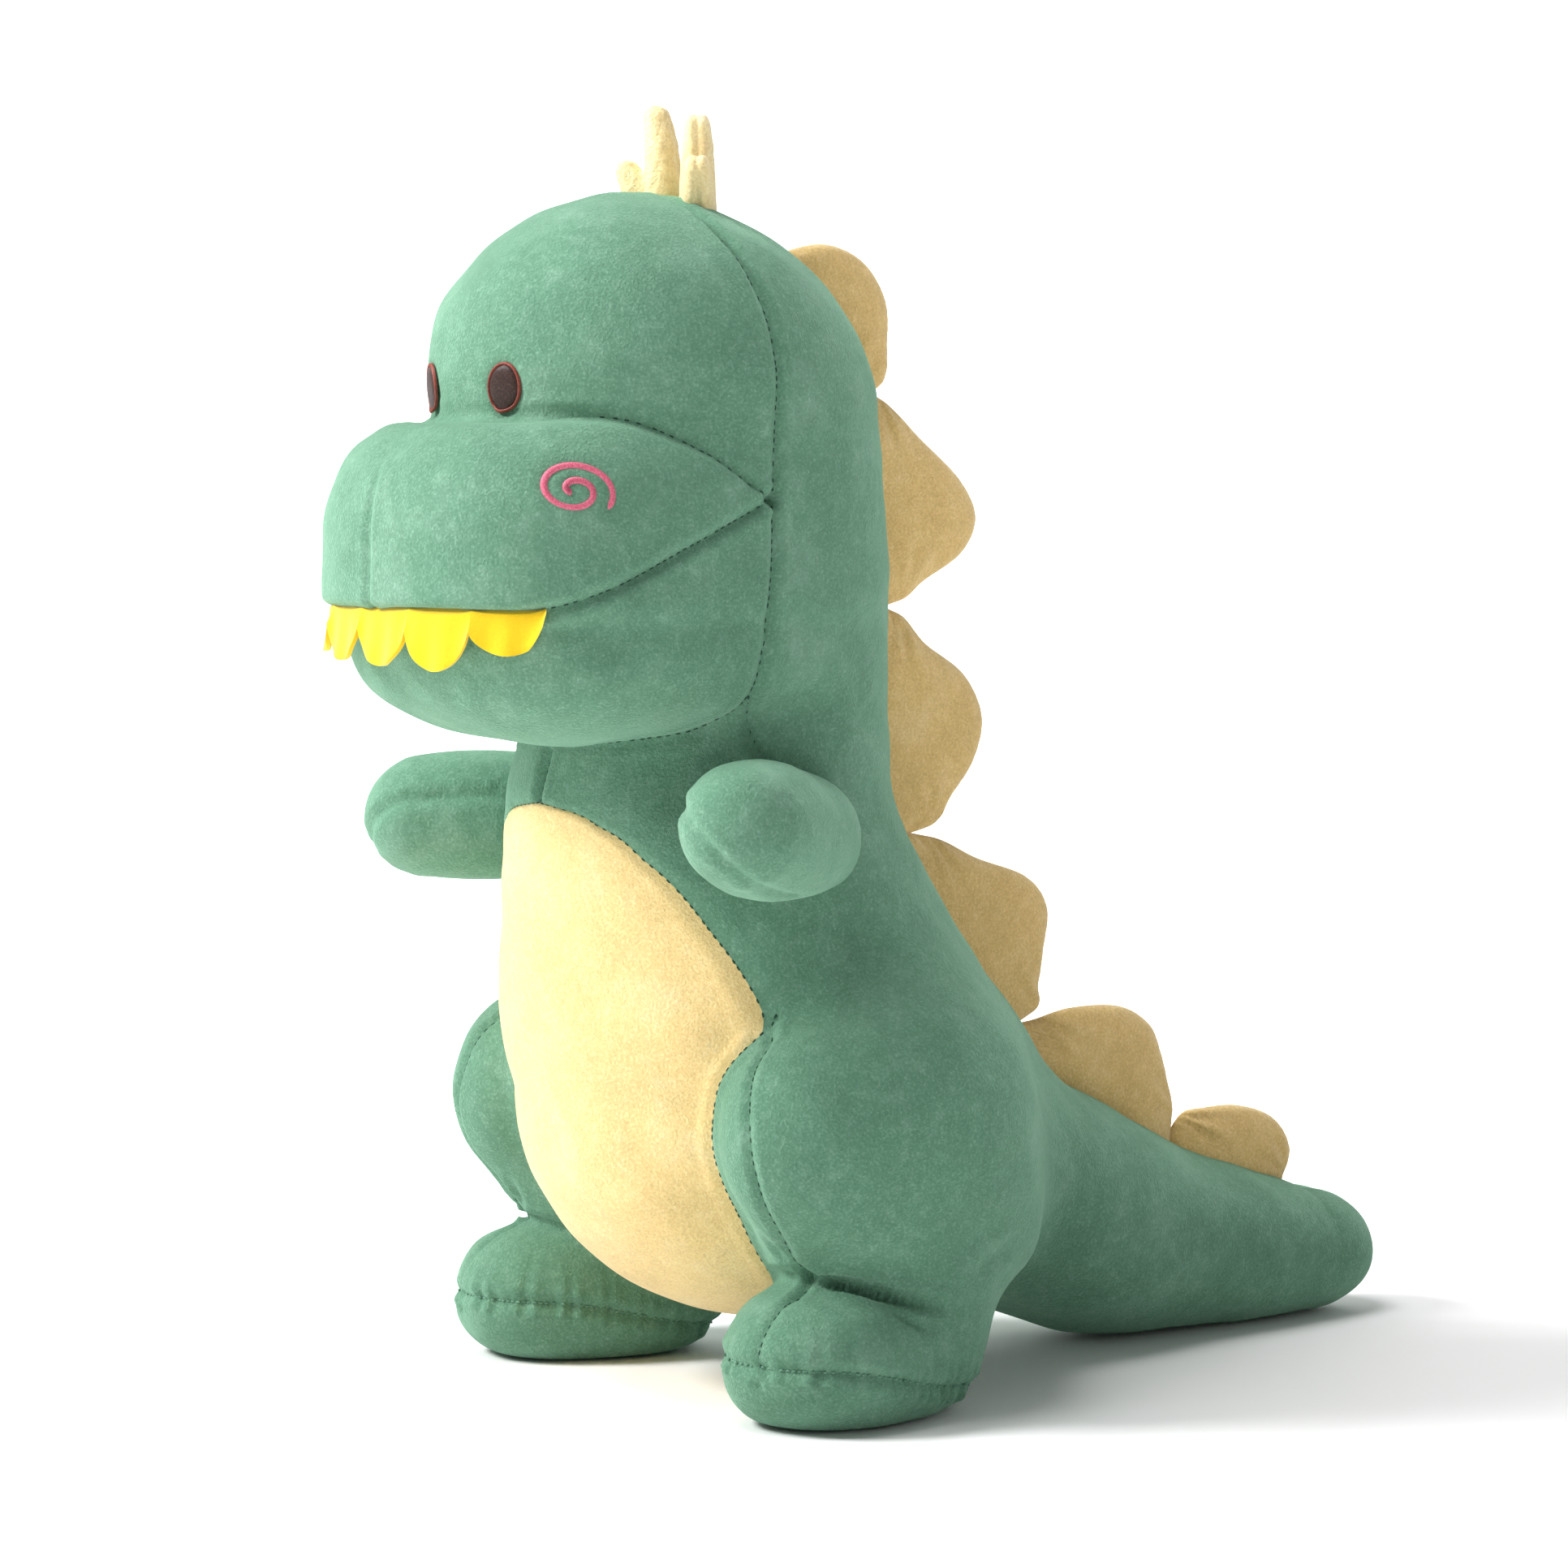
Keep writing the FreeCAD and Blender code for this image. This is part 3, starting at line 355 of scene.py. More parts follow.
def skin_mesh():
    """Triangles over the whole form, settled onto it."""
    low = np.array([-0.135, -0.150, -0.008])
    high = np.array([0.135, 0.308, 0.420])
    counts = np.ceil((high - low) / VOXEL).astype(int)
    xs, ys, zs = (low[i] + VOXEL * np.arange(counts[i]) for i in range(3))
    values = np.full(counts, 0.05, dtype=np.float32)
    block = 16
    for i in range(0, counts[0], block):
        for j in range(0, counts[1], block):
            for k in range(0, counts[2], block):
                own = (xs[i:i + block, None, None], ys[None, j:j + block, None], zs[None, None, k:k + block])
                middle = form(*(np.array([axis.mean()]) for axis in own))[0]
                if abs(middle) > 1.6 * block * VOXEL:
                    values[i:i + block, j:j + block, k:k + block] = math.copysign(0.05, middle)
                else:
                    values[i:i + block, j:j + block, k:k + block] = form(*own)
    grid = openvdb.FloatGrid(0.1)
    grid.copyFromArray(np.clip(values, -0.05, 0.05))
    grid.transform = openvdb.createLinearTransform(voxelSize=VOXEL)
    points, quads = grid.convertToQuads(isovalue=0.0)
    points = points.astype(float) + low
    triangles = np.concatenate([quads[:, [0, 1, 2]], quads[:, [0, 2, 3]]])
    return settle(points, form), triangles


def split(points, triangles, level):
    """Cuts triangles where the level changes sign. Gives all points, the triangles below zero, those above,
    and the segments of the cut."""
    level = np.where(np.abs(level) < 1e-7, 1e-7, level)
    above = level > 0
    count = above[triangles].sum(axis=1)
    below_tris, above_tris = triangles[count == 0], triangles[count == 3]
    mixed = triangles[(count == 1) | (count == 2)]
    if not len(mixed):
        return points, below_tris, above_tris, np.empty((0, 2), int)
    signs = above[mixed]
    lone_is_above = signs.sum(axis=1) == 1
    lone = np.where(lone_is_above, signs.argmax(axis=1), (~signs).argmax(axis=1))
    rows = np.arange(len(mixed))
    a, b, c = (mixed[rows, (lone + k) % 3] for k in range(3))
    edges = np.sort(np.concatenate([np.stack([a, b], 1), np.stack([a, c], 1)]), axis=1)
    unique, which = np.unique(edges, axis=0, return_inverse=True)
    which = which.reshape(-1)
    share = level[unique[:, 0]] / (level[unique[:, 0]] - level[unique[:, 1]])
    fresh = points[unique[:, 0]] + share[:, None] * (points[unique[:, 1]] - points[unique[:, 0]])
    p, q = len(points) + which[:len(mixed)], len(points) + which[len(mixed):]
    tip = np.stack([a, p, q], 1)
    rest = np.concatenate([np.stack([p, b, c], 1), np.stack([p, c, q], 1)])
    twice = np.concatenate([lone_is_above, lone_is_above])
    below_tris = np.concatenate([below_tris, tip[~lone_is_above], rest[twice]])
    above_tris = np.concatenate([above_tris, tip[lone_is_above], rest[~twice]])
    return np.concatenate([points, fresh]), below_tris, above_tris, np.stack([p, q], 1)


def compact(points, triangles):
    """Keeps only the points that the triangles use."""
    used, index = np.unique(triangles, return_inverse=True)
    return points[used], index.reshape(triangles.shape)


def in_frame(points):
    """From feet coordinates to the CAD frame."""
    return points + np.array([0, FEET_Y, 0])


def mesh_object(name, points, faces, material):
    mesh = bpy.data.meshes.new(name)
    mesh.from_pydata(np.asarray(points).tolist(), [], [list(map(int, face)) for face in faces])
    mesh.update()
    mesh.polygons.foreach_set("use_smooth", [True] * len(mesh.polygons))
    piece = bpy.data.objects.new(name, mesh)
    bpy.context.scene.collection.objects.link(piece)
    mesh.materials.append(material)
    return piece


# ---- materials
def new_material(name):
    """A material, its node tree and its shader."""
    material = bpy.data.materials.new(name)
    material.use_nodes = True
    tree = material.node_tree
    shader = tree.nodes["Principled BSDF"]
    return material, tree, shader


def noise(tree, scale, detail=3.0, roughness=0.55, stretch=None):
    """A noise texture over the piece's own coordinates, in metres."""
    place = tree.nodes.new("ShaderNodeTexCoord")
    texture = tree.nodes.new("ShaderNodeTexNoise")
    texture.inputs["Scale"].default_value = scale
    texture.inputs["Detail"].default_value = detail
    texture.inputs["Roughness"].default_value = roughness
    source = place.outputs["Object"]
    if stretch:
        mapping = tree.nodes.new("ShaderNodeMapping")
        mapping.inputs["Scale"].default_value = stretch
        tree.links.new(source, mapping.inputs["Vector"])
        source = mapping.outputs["Vector"]
    tree.links.new(source, texture.inputs["Vector"])
    return texture.outputs["Fac"]


def ramp(tree, source, stops):
    """Colours spread along a value by (position, colour) stops."""
    node = tree.nodes.new("ShaderNodeValToRGB")
    elements = node.color_ramp.elements
    while len(elements) < len(stops):
        elements.new(0.5)
    for element, (position, colour) in zip(elements, stops):
        element.position = position
        element.color = (*colour, 1)
    tree.links.new(source, node.inputs["Fac"])
    return node.outputs["Color"]


def mixed(tree, first, second, share):
    """Two colours mixed, with the given share of the second."""
    node = tree.nodes.new("ShaderNodeMix")
    node.data_type = "RGBA"
    node.inputs["Factor"].default_value = share
    colour_a, colour_b = (socket for socket in node.inputs if socket.type == "RGBA")
    tree.links.new(first, colour_a)
    tree.links.new(second, colour_b)
    return next(socket for socket in node.outputs if socket.type == "RGBA")


def bump(tree, shader, layers):
    """Stacks (height, strength, distance) layers of bump."""
    last = None
    for height, strength, distance in layers:
        node = tree.nodes.new("ShaderNodeBump")
        node.inputs["Strength"].default_value = strength
        node.inputs["Distance"].default_value = distance
        tree.links.new(height, node.inputs["Height"])
        if last:
            tree.links.new(last, node.inputs["Normal"])
        last = node.outputs["Normal"]
    tree.links.new(last, shader.inputs["Normal"])


def shade(colour, amount):
    """The colour made darker or lighter."""
    return tuple(min(1.0, channel * amount) for channel in colour)


def plush(name, colour, pale, sheen=0.55):
    """Short-pile velour: brushed lighter and darker patches, a fine pile and a soft rim of light."""
    material, tree, shader = new_material(name)
    clouds = noise(tree, 38, 4, 0.6)
    brushed = noise(tree, 210, 4, 0.65)
    pile = noise(tree, 1050, 3, 0.65)
    base = ramp(tree, clouds, [(0.33, shade(colour, 0.80)), (0.52, colour), (0.70, pale)])
    flecks = ramp(tree, brushed, [(0.30, shade(colour, 0.82)), (0.50, colour), (0.72, shade(pale, 1.06))])
    grain = ramp(tree, pile, [(0.30, shade(colour, 0.62)), (0.52, colour), (0.72, shade(pale, 1.25))])
    both = mixed(tree, mixed(tree, base, flecks, 0.45), grain, 0.40)
    tree.links.new(both, shader.inputs["Base Color"])
    shader.inputs["Roughness"].default_value = 0.92
    shader.inputs["Specular IOR Level"].default_value = 0.15
    shader.inputs["Sheen Weight"].default_value = sheen
    shader.inputs["Sheen Roughness"].default_value = 0.4
    shader.inputs["Sheen Tint"].default_value = (*shade(pale, 2.4), 1)
    bump(tree, shader, [(clouds, 0.25, 0.0012), (brushed, 0.35, 0.0007), (pile, 0.9, 0.0007)])
    return material


def felt(name, colour):
    """Matt felt: pressed fibres over faint patches."""
    material, tree, shader = new_material(name)
    fibres = noise(tree, 900, 5, 0.7, (1, 1, 2.2))
    patches = noise(tree, 120, 2, 0.5)
    base = ramp(tree, fibres, [(0.3, shade(colour, 0.86)), (0.55, colour), (0.75, shade(colour, 1.12))])
    wide = ramp(tree, patches, [(0.3, shade(colour, 0.93)), (0.7, shade(colour, 1.05))])
    tree.links.new(mixed(tree, base, wide, 0.4), shader.inputs["Base Color"])
    shader.inputs["Roughness"].default_value = 0.95
    shader.inputs["Specular IOR Level"].default_value = 0.12
    shader.inputs["Sheen Weight"].default_value = 0.3
    shader.inputs["Sheen Roughness"].default_value = 0.5
    bump(tree, shader, [(fibres, 0.5, 0.0004)])
    return material


def thread(name, colour, bright, gloss=0.45):
    """Satin stitch: a soft shine and fine strands."""
    material, tree, shader = new_material(name)
    strands = noise(tree, 1900, 3, 0.6)
    base = ramp(tree, strands, [(0.3, shade(colour, 0.7)), (0.5, colour), (0.72, bright)])
    tree.links.new(base, shader.inputs["Base Color"])
    shader.inputs["Roughness"].default_value = gloss
    shader.inputs["Specular IOR Level"].default_value = 0.25
    bump(tree, shader, [(strands, 0.4, 0.0002)])
    return material


GREEN = plush("green_velour", (0.116, 0.258, 0.168), (0.240, 0.400, 0.300))
CREAM = plush("cream_velour", (0.900, 0.660, 0.290), (0.960, 0.780, 0.460), 0.4)
HONEY = plush("honey_velour", (0.730, 0.500, 0.195), (0.840, 0.640, 0.330), 0.5)
PALE = plush("pale_velour", (0.940, 0.740, 0.380), (0.990, 0.860, 0.560), 0.5)
YELLOW = felt("yellow_felt", (0.860, 0.560, 0.012))
BROWN = thread("brown_thread", (0.030, 0.014, 0.011), (0.075, 0.035, 0.028))
RUSSET = thread("russet_thread", (0.230, 0.050, 0.035), (0.360, 0.100, 0.070))
PINK = thread("pink_thread", (0.660, 0.125, 0.205), (0.820, 0.250, 0.340))
# Painted shade: seam thread far darker than the green plush, standing for the shadow in the stitched gaps.
SEAM_SHADOW_THREAD = thread("seam_shadow_thread", (0.018, 0.055, 0.034), (0.040, 0.100, 0.066), 0.8)
TUFT = thread("seam_tuft", (0.120, 0.265, 0.180), (0.260, 0.440, 0.330), 0.9)


# ---- panels of the skin
SEAM_DEPTH, SEAM_WIDTH = 0.0021, 0.0020
JAW_LOW = 0.222
# Folds at the left ankle and hip, mirrored on the right: start, bend, end, depth, width.
FOLDS = [
    ((0.085, -0.019, 0.050), (0.112, -0.008, 0.046), (0.112, 0.040, 0.034), 0.0064, 0.0021),
    ((0.092, -0.016, 0.047), (0.112, -0.002, 0.038), (0.114, 0.020, 0.030), 0.0026, 0.0018),
    ((0.085, -0.020, 0.051), (0.066, -0.022, 0.049), (0.056, 0.000, 0.048), 0.0034, 0.0030),
    ((0.086, -0.020, 0.053), (0.096, -0.026, 0.060), (0.104, -0.022, 0.066), 0.0016, 0.0022),
    ((0.083, -0.022, 0.054), (0.078, -0.034, 0.060), (0.074, -0.040, 0.068), 0.0016, 0.0022),
    ((0.086, -0.020, 0.048), (0.090, -0.028, 0.044), (0.094, -0.034, 0.040), 0.0012, 0.0020),
    ((0.106, 0.030, 0.050), (0.112, 0.048, 0.054), (0.104, 0.066, 0.060), 0.0016, 0.0034),
    ((0.075, -0.030, 0.128), (0.068, -0.036, 0.112), (0.058, -0.034, 0.094), 0.0016, 0.0028),
]


def relief(points):
    """How far each skin point moves out (or, below zero, in) for seams, folds and lumps."""
    x, y, z = points.T
    face, brow, mouth, belly, leg_line, sole = (
        seam(x, y, z) for seam in (seam_face, seam_brow, seam_mouth, seam_belly, seam_leg, seam_sole))
    head = face < 0.002
    move = groove(face, SEAM_DEPTH, SEAM_WIDTH) * (z > JAW_LOW)
    move += groove(brow, SEAM_DEPTH, SEAM_WIDTH) * head
    move += groove(mouth, SEAM_DEPTH, SEAM_WIDTH) * head
    move += groove(belly, 0.0012, 0.0018) * (~head)
    front_leg = (y < 0.012) & (z > 0.016) & (z < 0.136) & (np.abs(x) > 0.045) & (belly > -0.001)
    move += groove(leg_line, 0.0013, 0.0017) * front_leg
    on_foot = (z < 0.045) & (np.abs(x) > 0.030) & (y < 0.075)
    move += groove(sole, 0.0016, 0.0020) * on_foot
    nose = (y < -0.11) & (mouth > 0)
    move += groove(x, 0.0012, 0.0016) * nose * rise(-z, -0.322, -0.310)
    throat = (y < -0.03) & (~head) & (belly > 0)
    move += groove(x, SEAM_DEPTH, SEAM_WIDTH) * throat * (z > 0.18)
    neck = (z < 0.255) & (~head)
    move += groove(seam_neck(x, y, z), 0.0018, 0.0020) * neck * rise(z, 0.175, 0.200)
    back = (y > 0.03) & (z > 0.02)
    move += groove(x, 0.0014, 0.0020) * back
    # Gathers: short ripples that run away from a seam.
    round_foot = np.arctan2(np.abs(x) - FOOT_X, -y)
    ripple = np.sin(round_foot * 31) + 0.8 * np.sin(round_foot * 47 + 1.0) + soft_noise(points, 0.007, 5)
    move += 0.00042 * ripple * np.exp(-np.maximum(sole, 0) / 0.007) * on_foot * (sole > -0.005)
    for seam_value, gather in ((face, 0.00016), (mouth, 0.00014), (brow, 0.00012)):
        pull = soft_noise(points, 0.006, 3)
        move += gather * pull * np.exp(-np.abs(seam_value) / 0.006) * (z > JAW_LOW)
    mirrored = np.column_stack([np.abs(x), y, z])
    for start, middle, end, depth, width in FOLDS:
        move += fold(mirrored, start, middle, end, depth, width)
    for line, depth, width in PRESSED:
        move += sunk_line(mirrored, line, depth, width)
    move += 0.0009 * soft_noise(points, 0.060, 11) + 0.00035 * soft_noise(points, 0.022, 12)
    return move * rise(z, -0.001, 0.004)


def threads(name, points, segments, keep, material, pitch=0.0026, length=0.0019, radius=0.00042, sink=0.0001):
    """Short thread ends along a seam, one per stitch, made into one object."""
    start, end = points[segments[:, 0]], points[segments[:, 1]]
    middle = (start + end) / 2
    use = keep(*middle.T)
    start, end, middle = start[use], end[use], middle[use]
    cell = np.round(middle / pitch).astype(int)
    _, chosen = np.unique(cell, axis=0, return_index=True)
    chosen = thin_out(middle, chosen, pitch)
    along = end[chosen] - start[chosen]
    along /= np.maximum(np.linalg.norm(along, axis=1, keepdims=True), 1e-9)
    normal, _ = slope(form, middle[chosen])
    across = np.cross(normal, along)
    ring = 6
    all_points, all_faces = [], []
    profile = [(-0.5, 0.15), (-0.32, 0.9), (0.0, 1.0), (0.32, 0.9), (0.5, 0.15)]
    centres = middle[chosen] - normal * sink
    centres += normal * relief(centres)[:, None]
    for k, centre in enumerate(centres):
        base = len(all_points)
        for t, fat in profile:
            for j in range(ring):
                angle = 2 * math.pi * j / ring
                offset = across[k] * math.cos(angle) + normal[k] * math.sin(angle)
                all_points.append(centre + along[k] * t * length + offset * radius * fat)
        for r in range(len(profile) - 1):
            for j in range(ring):
                a, b = base + r * ring + j, base + r * ring + (j + 1) % ring
                all_faces.append((a, b, b + ring, a + ring))
        all_faces.append(tuple(base + j for j in reversed(range(ring))))
        last = base + (len(profile) - 1) * ring
        all_faces.append(tuple(last + j for j in range(ring)))
    return mesh_object(name, in_frame(np.array(all_points)), all_faces, material)


def thin_out(middle, chosen, pitch):
    """Keeps a spaced-out choice of points."""
    kept = []
    bins = {}
    for index in chosen:
        place = tuple(np.floor(middle[index] / pitch).astype(int))
        steps = (-1, 0, 1)
        near = [bins.get((place[0] + i, place[1] + j, place[2] + k)) for i in steps for j in steps for k in steps]
        if all(n is None or np.linalg.norm(middle[n] - middle[index]) > pitch * 0.92 for n in near):
            bins[place] = index
            kept.append(index)
    return np.array(kept)


def build_skin():
    """The panels as objects by name, the uncarved points, and each seam's segments between them."""
    points, whole = skin_mesh()
    seams = {}
    points, front, body, seams["face"] = split(points, whole, seam_face(*points.T))
    points, below_brow, crown, seams["brow"] = split(points, front, seam_brow(*points.T))
    points, lower, upper, seams["mouth"] = split(points, below_brow, seam_mouth(*points.T))
    points, belly, green, seams["belly"] = split(points, body, seam_belly(*points.T))
    points, soles, green, seams["sole"] = cut_soles(points, green)
    points, inner, green, seams["leg"] = cut_inner_legs(points, green)
    points, right, left, seams["middle"] = split(points, green, points[:, 0])
    panels = {"crown_skin": crown, "muzzle_skin": upper, "jaw_skin": lower, "belly_skin": belly,
              "side_skin_left": left, "side_skin_right": right}
    for name, triangles in (("sole_skin", soles), ("inner_leg_skin", inner)):
        middle = points[triangles].mean(axis=1)[:, 0]
        panels[f"{name}_left"] = triangles[middle > 0]
        panels[f"{name}_right"] = triangles[middle < 0]
    middle = points[green].mean(axis=1)
    beside = green[(middle[:, 2] > 0.19) & (middle[:, 2] < 0.262) & (middle[:, 1] < 0.01)]
    points, _, _, seams["neck"] = split(points, beside, seam_neck(*points.T))
    normal, _ = slope(form, points)
    moved = points + normal * relief(points)[:, None]
    pieces = {}
    for name, triangles in panels.items():
        own, faces = compact(moved, triangles)
        pieces[name] = mesh_object(name, in_frame(own), faces, CREAM if name == "belly_skin" else GREEN)
    return pieces, points, seams


def cut_soles(points, triangles):
    """Splits off what lies below the sole seam, on the feet only."""
    middle = points[triangles].mean(axis=1)
    foot_part = (np.abs(middle[:, 0]) > 0.030) & (middle[:, 2] < 0.035) & (middle[:, 1] < 0.075)
    points, below, above, line = split(points, triangles[foot_part], seam_sole(*points.T))
    return points, below, np.concatenate([above, triangles[~foot_part]]), line


def cut_inner_legs(points, triangles):
    """Splits off the inner side of each leg, from the belly to the front leg seam."""
    middle = points[triangles].mean(axis=1)
    part = (np.abs(middle[:, 0]) > 0.030) & (middle[:, 2] < 0.137) & (middle[:, 1] < 0.014)
    part &= seam_belly(*middle.T) > 0
    points, inner, outer, line = split(points, triangles[part], seam_leg(*points.T))
    return points, inner, np.concatenate([outer, triangles[~part]]), line


skins, skin_points, seam_lines = build_skin()


def on_torso(piece, slot, *nodes):
    """A piece that stays with the torso and, where nodes are given, stands in for them."""
    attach(piece, "torso")
    if nodes:
        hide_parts(*nodes)


def flexing(piece):
    """Bakes the piece's placement into its mesh."""
    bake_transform(piece)


on_torso(skins["crown_skin"], "green_plush", "crown_panel", "head_stuffing")
on_torso(skins["muzzle_skin"], "green_plush", "muzzle_panel")
on_torso(skins["jaw_skin"], "green_plush", "jaw_panel")
on_torso(skins["belly_skin"], "cream_plush", "belly_panel", "torso_stuffing")
for side in ("left", "right"):
    on_torso(skins[f"sole_skin_{side}"], "green_plush", f"sole_{side}")
    inner_leg = skins[f"inner_leg_skin_{side}"]
    on_torso(inner_leg, "green_plush", f"inner_leg_panel_{side}", f"leg_stuffing_{side}")
    whole_side = skins[f"side_skin_{side}"]
    flexing(whole_side)
    extra = ("tail_stuffing",) if side == "left" else ()
    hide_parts(f"side_panel_{side}", f"chest_panel_{side}", f"tail_panel_{side}", *extra)


# ---- stitches in the seams
def stitch_seams():
    """Stitches in the seams, each where the seam can be seen, in nearly black thread as painted shade of the
    seam's gaps, and pale tufts round the soles.
    """
    plans = {
        "face_stitches": ("face", lambda x, y, z: z > 0.224),
        "brow_stitches": ("brow", lambda x, y, z: (y < -0.022) & (y > -0.078)),
        "mouth_stitches": ("mouth", lambda x, y, z: y < -0.022),
        "belly_stitches": ("belly", lambda x, y, z: z > 0.03),
        "leg_stitches": ("leg", lambda x, y, z: (y < 0.0) & (z > 0.016)),
        "neck_stitches": ("neck", lambda x, y, z: z > 0.205),
        "throat_stitches": ("middle", lambda x, y, z: (y < -0.03) & (z > 0.2)),
    }
    for name, (line, keep) in plans.items():
        piece = threads(name, skin_points, seam_lines[line], keep, SEAM_SHADOW_THREAD)
        on_torso(piece, "green_plush")
    tufts = threads("sole_stitches", skin_points, seam_lines["sole"], lambda x, y, z: z > 0.006, TUFT,
                    0.0017, 0.0016, 0.0005, -0.0002)
    on_torso(tufts, "green_plush")


stitch_seams()


# ---- stuffed pieces by cloth simulation
def inflate(piece, pressure, cap):
    """Swells a closed piece as cloth under pressure, keeps each point within the cap, and applies it."""
    frames = 20
    start = points_of(piece)
    cloth = piece.modifiers.new("swell", "CLOTH")
    settings = cloth.settings
    settings.quality = 6
    settings.mass = 0.15
    settings.use_pressure = True
    settings.uniform_pressure_force = pressure
    settings.tension_stiffness = 18
    settings.compression_stiffness = 12
    settings.shear_stiffness = 6
    settings.bending_stiffness = 0.4
    settings.effector_weights.gravity = 0
    cloth.collision_settings.use_self_collision = False
    scene = bpy.context.scene
    cloth.point_cache.frame_start = 1
    cloth.point_cache.frame_end = frames
    for number in range(1, frames + 1):
        scene.frame_set(number)
    graph = bpy.context.evaluated_depsgraph_get()
    result = piece.evaluated_get(graph).to_mesh()
    swollen = np.array([v.co[:] for v in result.vertices])
    piece.evaluated_get(graph).to_mesh_clear()
    piece.modifiers.remove(cloth)
    scene.frame_set(1)
    move = swollen - start
    size = np.linalg.norm(move, axis=1, keepdims=True)
    move *= np.minimum(1, cap / np.maximum(size, 1e-9))
    set_points(piece, start + move)


def subdivide(piece):
    """Adds one level of smooth subdivision."""
    modifier = piece.modifiers.new("subdivision", "SUBSURF")
    modifier.levels = 1
    modifier.render_levels = 1


def points_of(piece):
    """The mesh's points as rows of x, y and z."""
    flat = np.empty(len(piece.data.vertices) * 3)
    piece.data.vertices.foreach_get("co", flat)
    return flat.reshape(-1, 3)


def normals_of(piece):
    """The mesh's normal at each of its points."""
    return np.array([vertex.normal[:] for vertex in piece.data.vertices])


def set_points(piece, points):
    piece.data.vertices.foreach_set("co", np.ascontiguousarray(points).ravel())
    piece.data.update()


def smooth_outline(knots, count):
    """Points spaced evenly along a rounded closed curve through the knots."""
    knots = np.array(knots, dtype=float)
    total = len(knots)
    dense = []
    for i in range(total):
        p0, p1, p2, p3 = (knots[(i + k) % total] for k in (-1, 0, 1, 2))
        t = np.linspace(0, 1, 40, endpoint=False)[:, None]
        dense.append(0.5 * (2 * p1 + (p2 - p0) * t + (2 * p0 - 5 * p1 + 4 * p2 - p3) * t ** 2
                            + (3 * p1 - p0 - 3 * p2 + p3) * t ** 3))
    dense = np.concatenate(dense)
    steps = np.linalg.norm(np.diff(np.vstack([dense, dense[:1]]), axis=0), axis=1)
    length = np.concatenate([[0], np.cumsum(steps)])
    wanted = np.linspace(0, length[-1], count, endpoint=False)
    closed = np.vstack([dense, dense[:1]])
    return np.stack([np.interp(wanted, length, closed[:, k]) for k in range(2)], axis=1)


def pillow(name, knots, thick, material, rings=12, around=120):
    """A flat two-sided cushion over an outline in a plane, with its seam round the edge. Gives the object
    and, per point, its share of the way from the middle to the edge and its side."""
    outline = smooth_outline(knots, around)
    centre = outline.mean(axis=0)
    points, shares, sides = [], [], []
    for side in (1, -1):
        for ring in range(rings):
            share = ring / rings
            flat = centre + (outline - centre) * share if ring else centre[None]
            rise_up = thick / 2 * math.sqrt(max(0.0, 1 - share ** 2.1))
            for place in flat:
                points.append((side * rise_up, place[0], place[1]))
                shares.append(share)
                sides.append(side)
    rim = len(points)
    for place in outline:
        points.append((0.0, place[0], place[1]))
        shares.append(1.0)
        sides.append(0)
    faces = []
    per_side = 1 + (rings - 1) * around

    def index(side, ring, k):
        if ring == rings:
            return rim + k % around
        base = 0 if side == 1 else per_side
        return base if ring == 0 else base + 1 + (ring - 1) * around + k % around

    for side in (1, -1):
        for k in range(around):
            for ring in range(rings):
                a, b = index(side, ring, k), index(side, ring + 1, k)
                c, d = index(side, ring + 1, k + 1), index(side, ring, k + 1)
                face = (a, b, c) if ring == 0 else (a, b, c, d)
                faces.append(face if side == -1 else tuple(reversed(face)))
    piece = mesh_object(name, points, faces, material)
    return piece, np.array(shares), np.array(sides)


# Crest lobes: outline knots (y from the feet, height) from the upper root round the tip to the lower root.
CREST = [
    [(0.030, 0.383), (0.022, 0.389), (0.046, 0.3955), (0.064, 0.390), (0.0745, 0.376), (0.0755, 0.359),
     (0.073, 0.345), (0.056, 0.342), (0.050, 0.350), (0.046, 0.366)],
    [(0.054, 0.343), (0.072, 0.3425), (0.090, 0.328), (0.108, 0.313), (0.1155, 0.299), (0.109, 0.286),
     (0.092, 0.276), (0.081, 0.269), (0.058, 0.268), (0.055, 0.300)],
    [(0.057, 0.268), (0.080, 0.267), (0.092, 0.256), (0.110, 0.244), (0.1185, 0.228), (0.1145, 0.212),
     (0.104, 0.199), (0.095, 0.1885), (0.066, 0.188), (0.058, 0.220)],
    [(0.066, 0.187), (0.094, 0.187), (0.116, 0.178), (0.139, 0.170), (0.1485, 0.158), (0.1465, 0.142),
     (0.1445, 0.129), (0.143, 0.1195), (0.112, 0.113), (0.086, 0.150)],
    [(0.114, 0.111), (0.143, 0.1185), (0.160, 0.1215), (0.182, 0.1205), (0.196, 0.113), (0.2015, 0.102),
     (0.205, 0.090), (0.208, 0.0785), (0.200, 0.063), (0.158, 0.086)],
    [(0.203, 0.062), (0.209, 0.0775), (0.223, 0.080), (0.239, 0.0795), (0.255, 0.074), (0.2645, 0.062),
     (0.262, 0.052), (0.255, 0.045), (0.230, 0.052)],
]


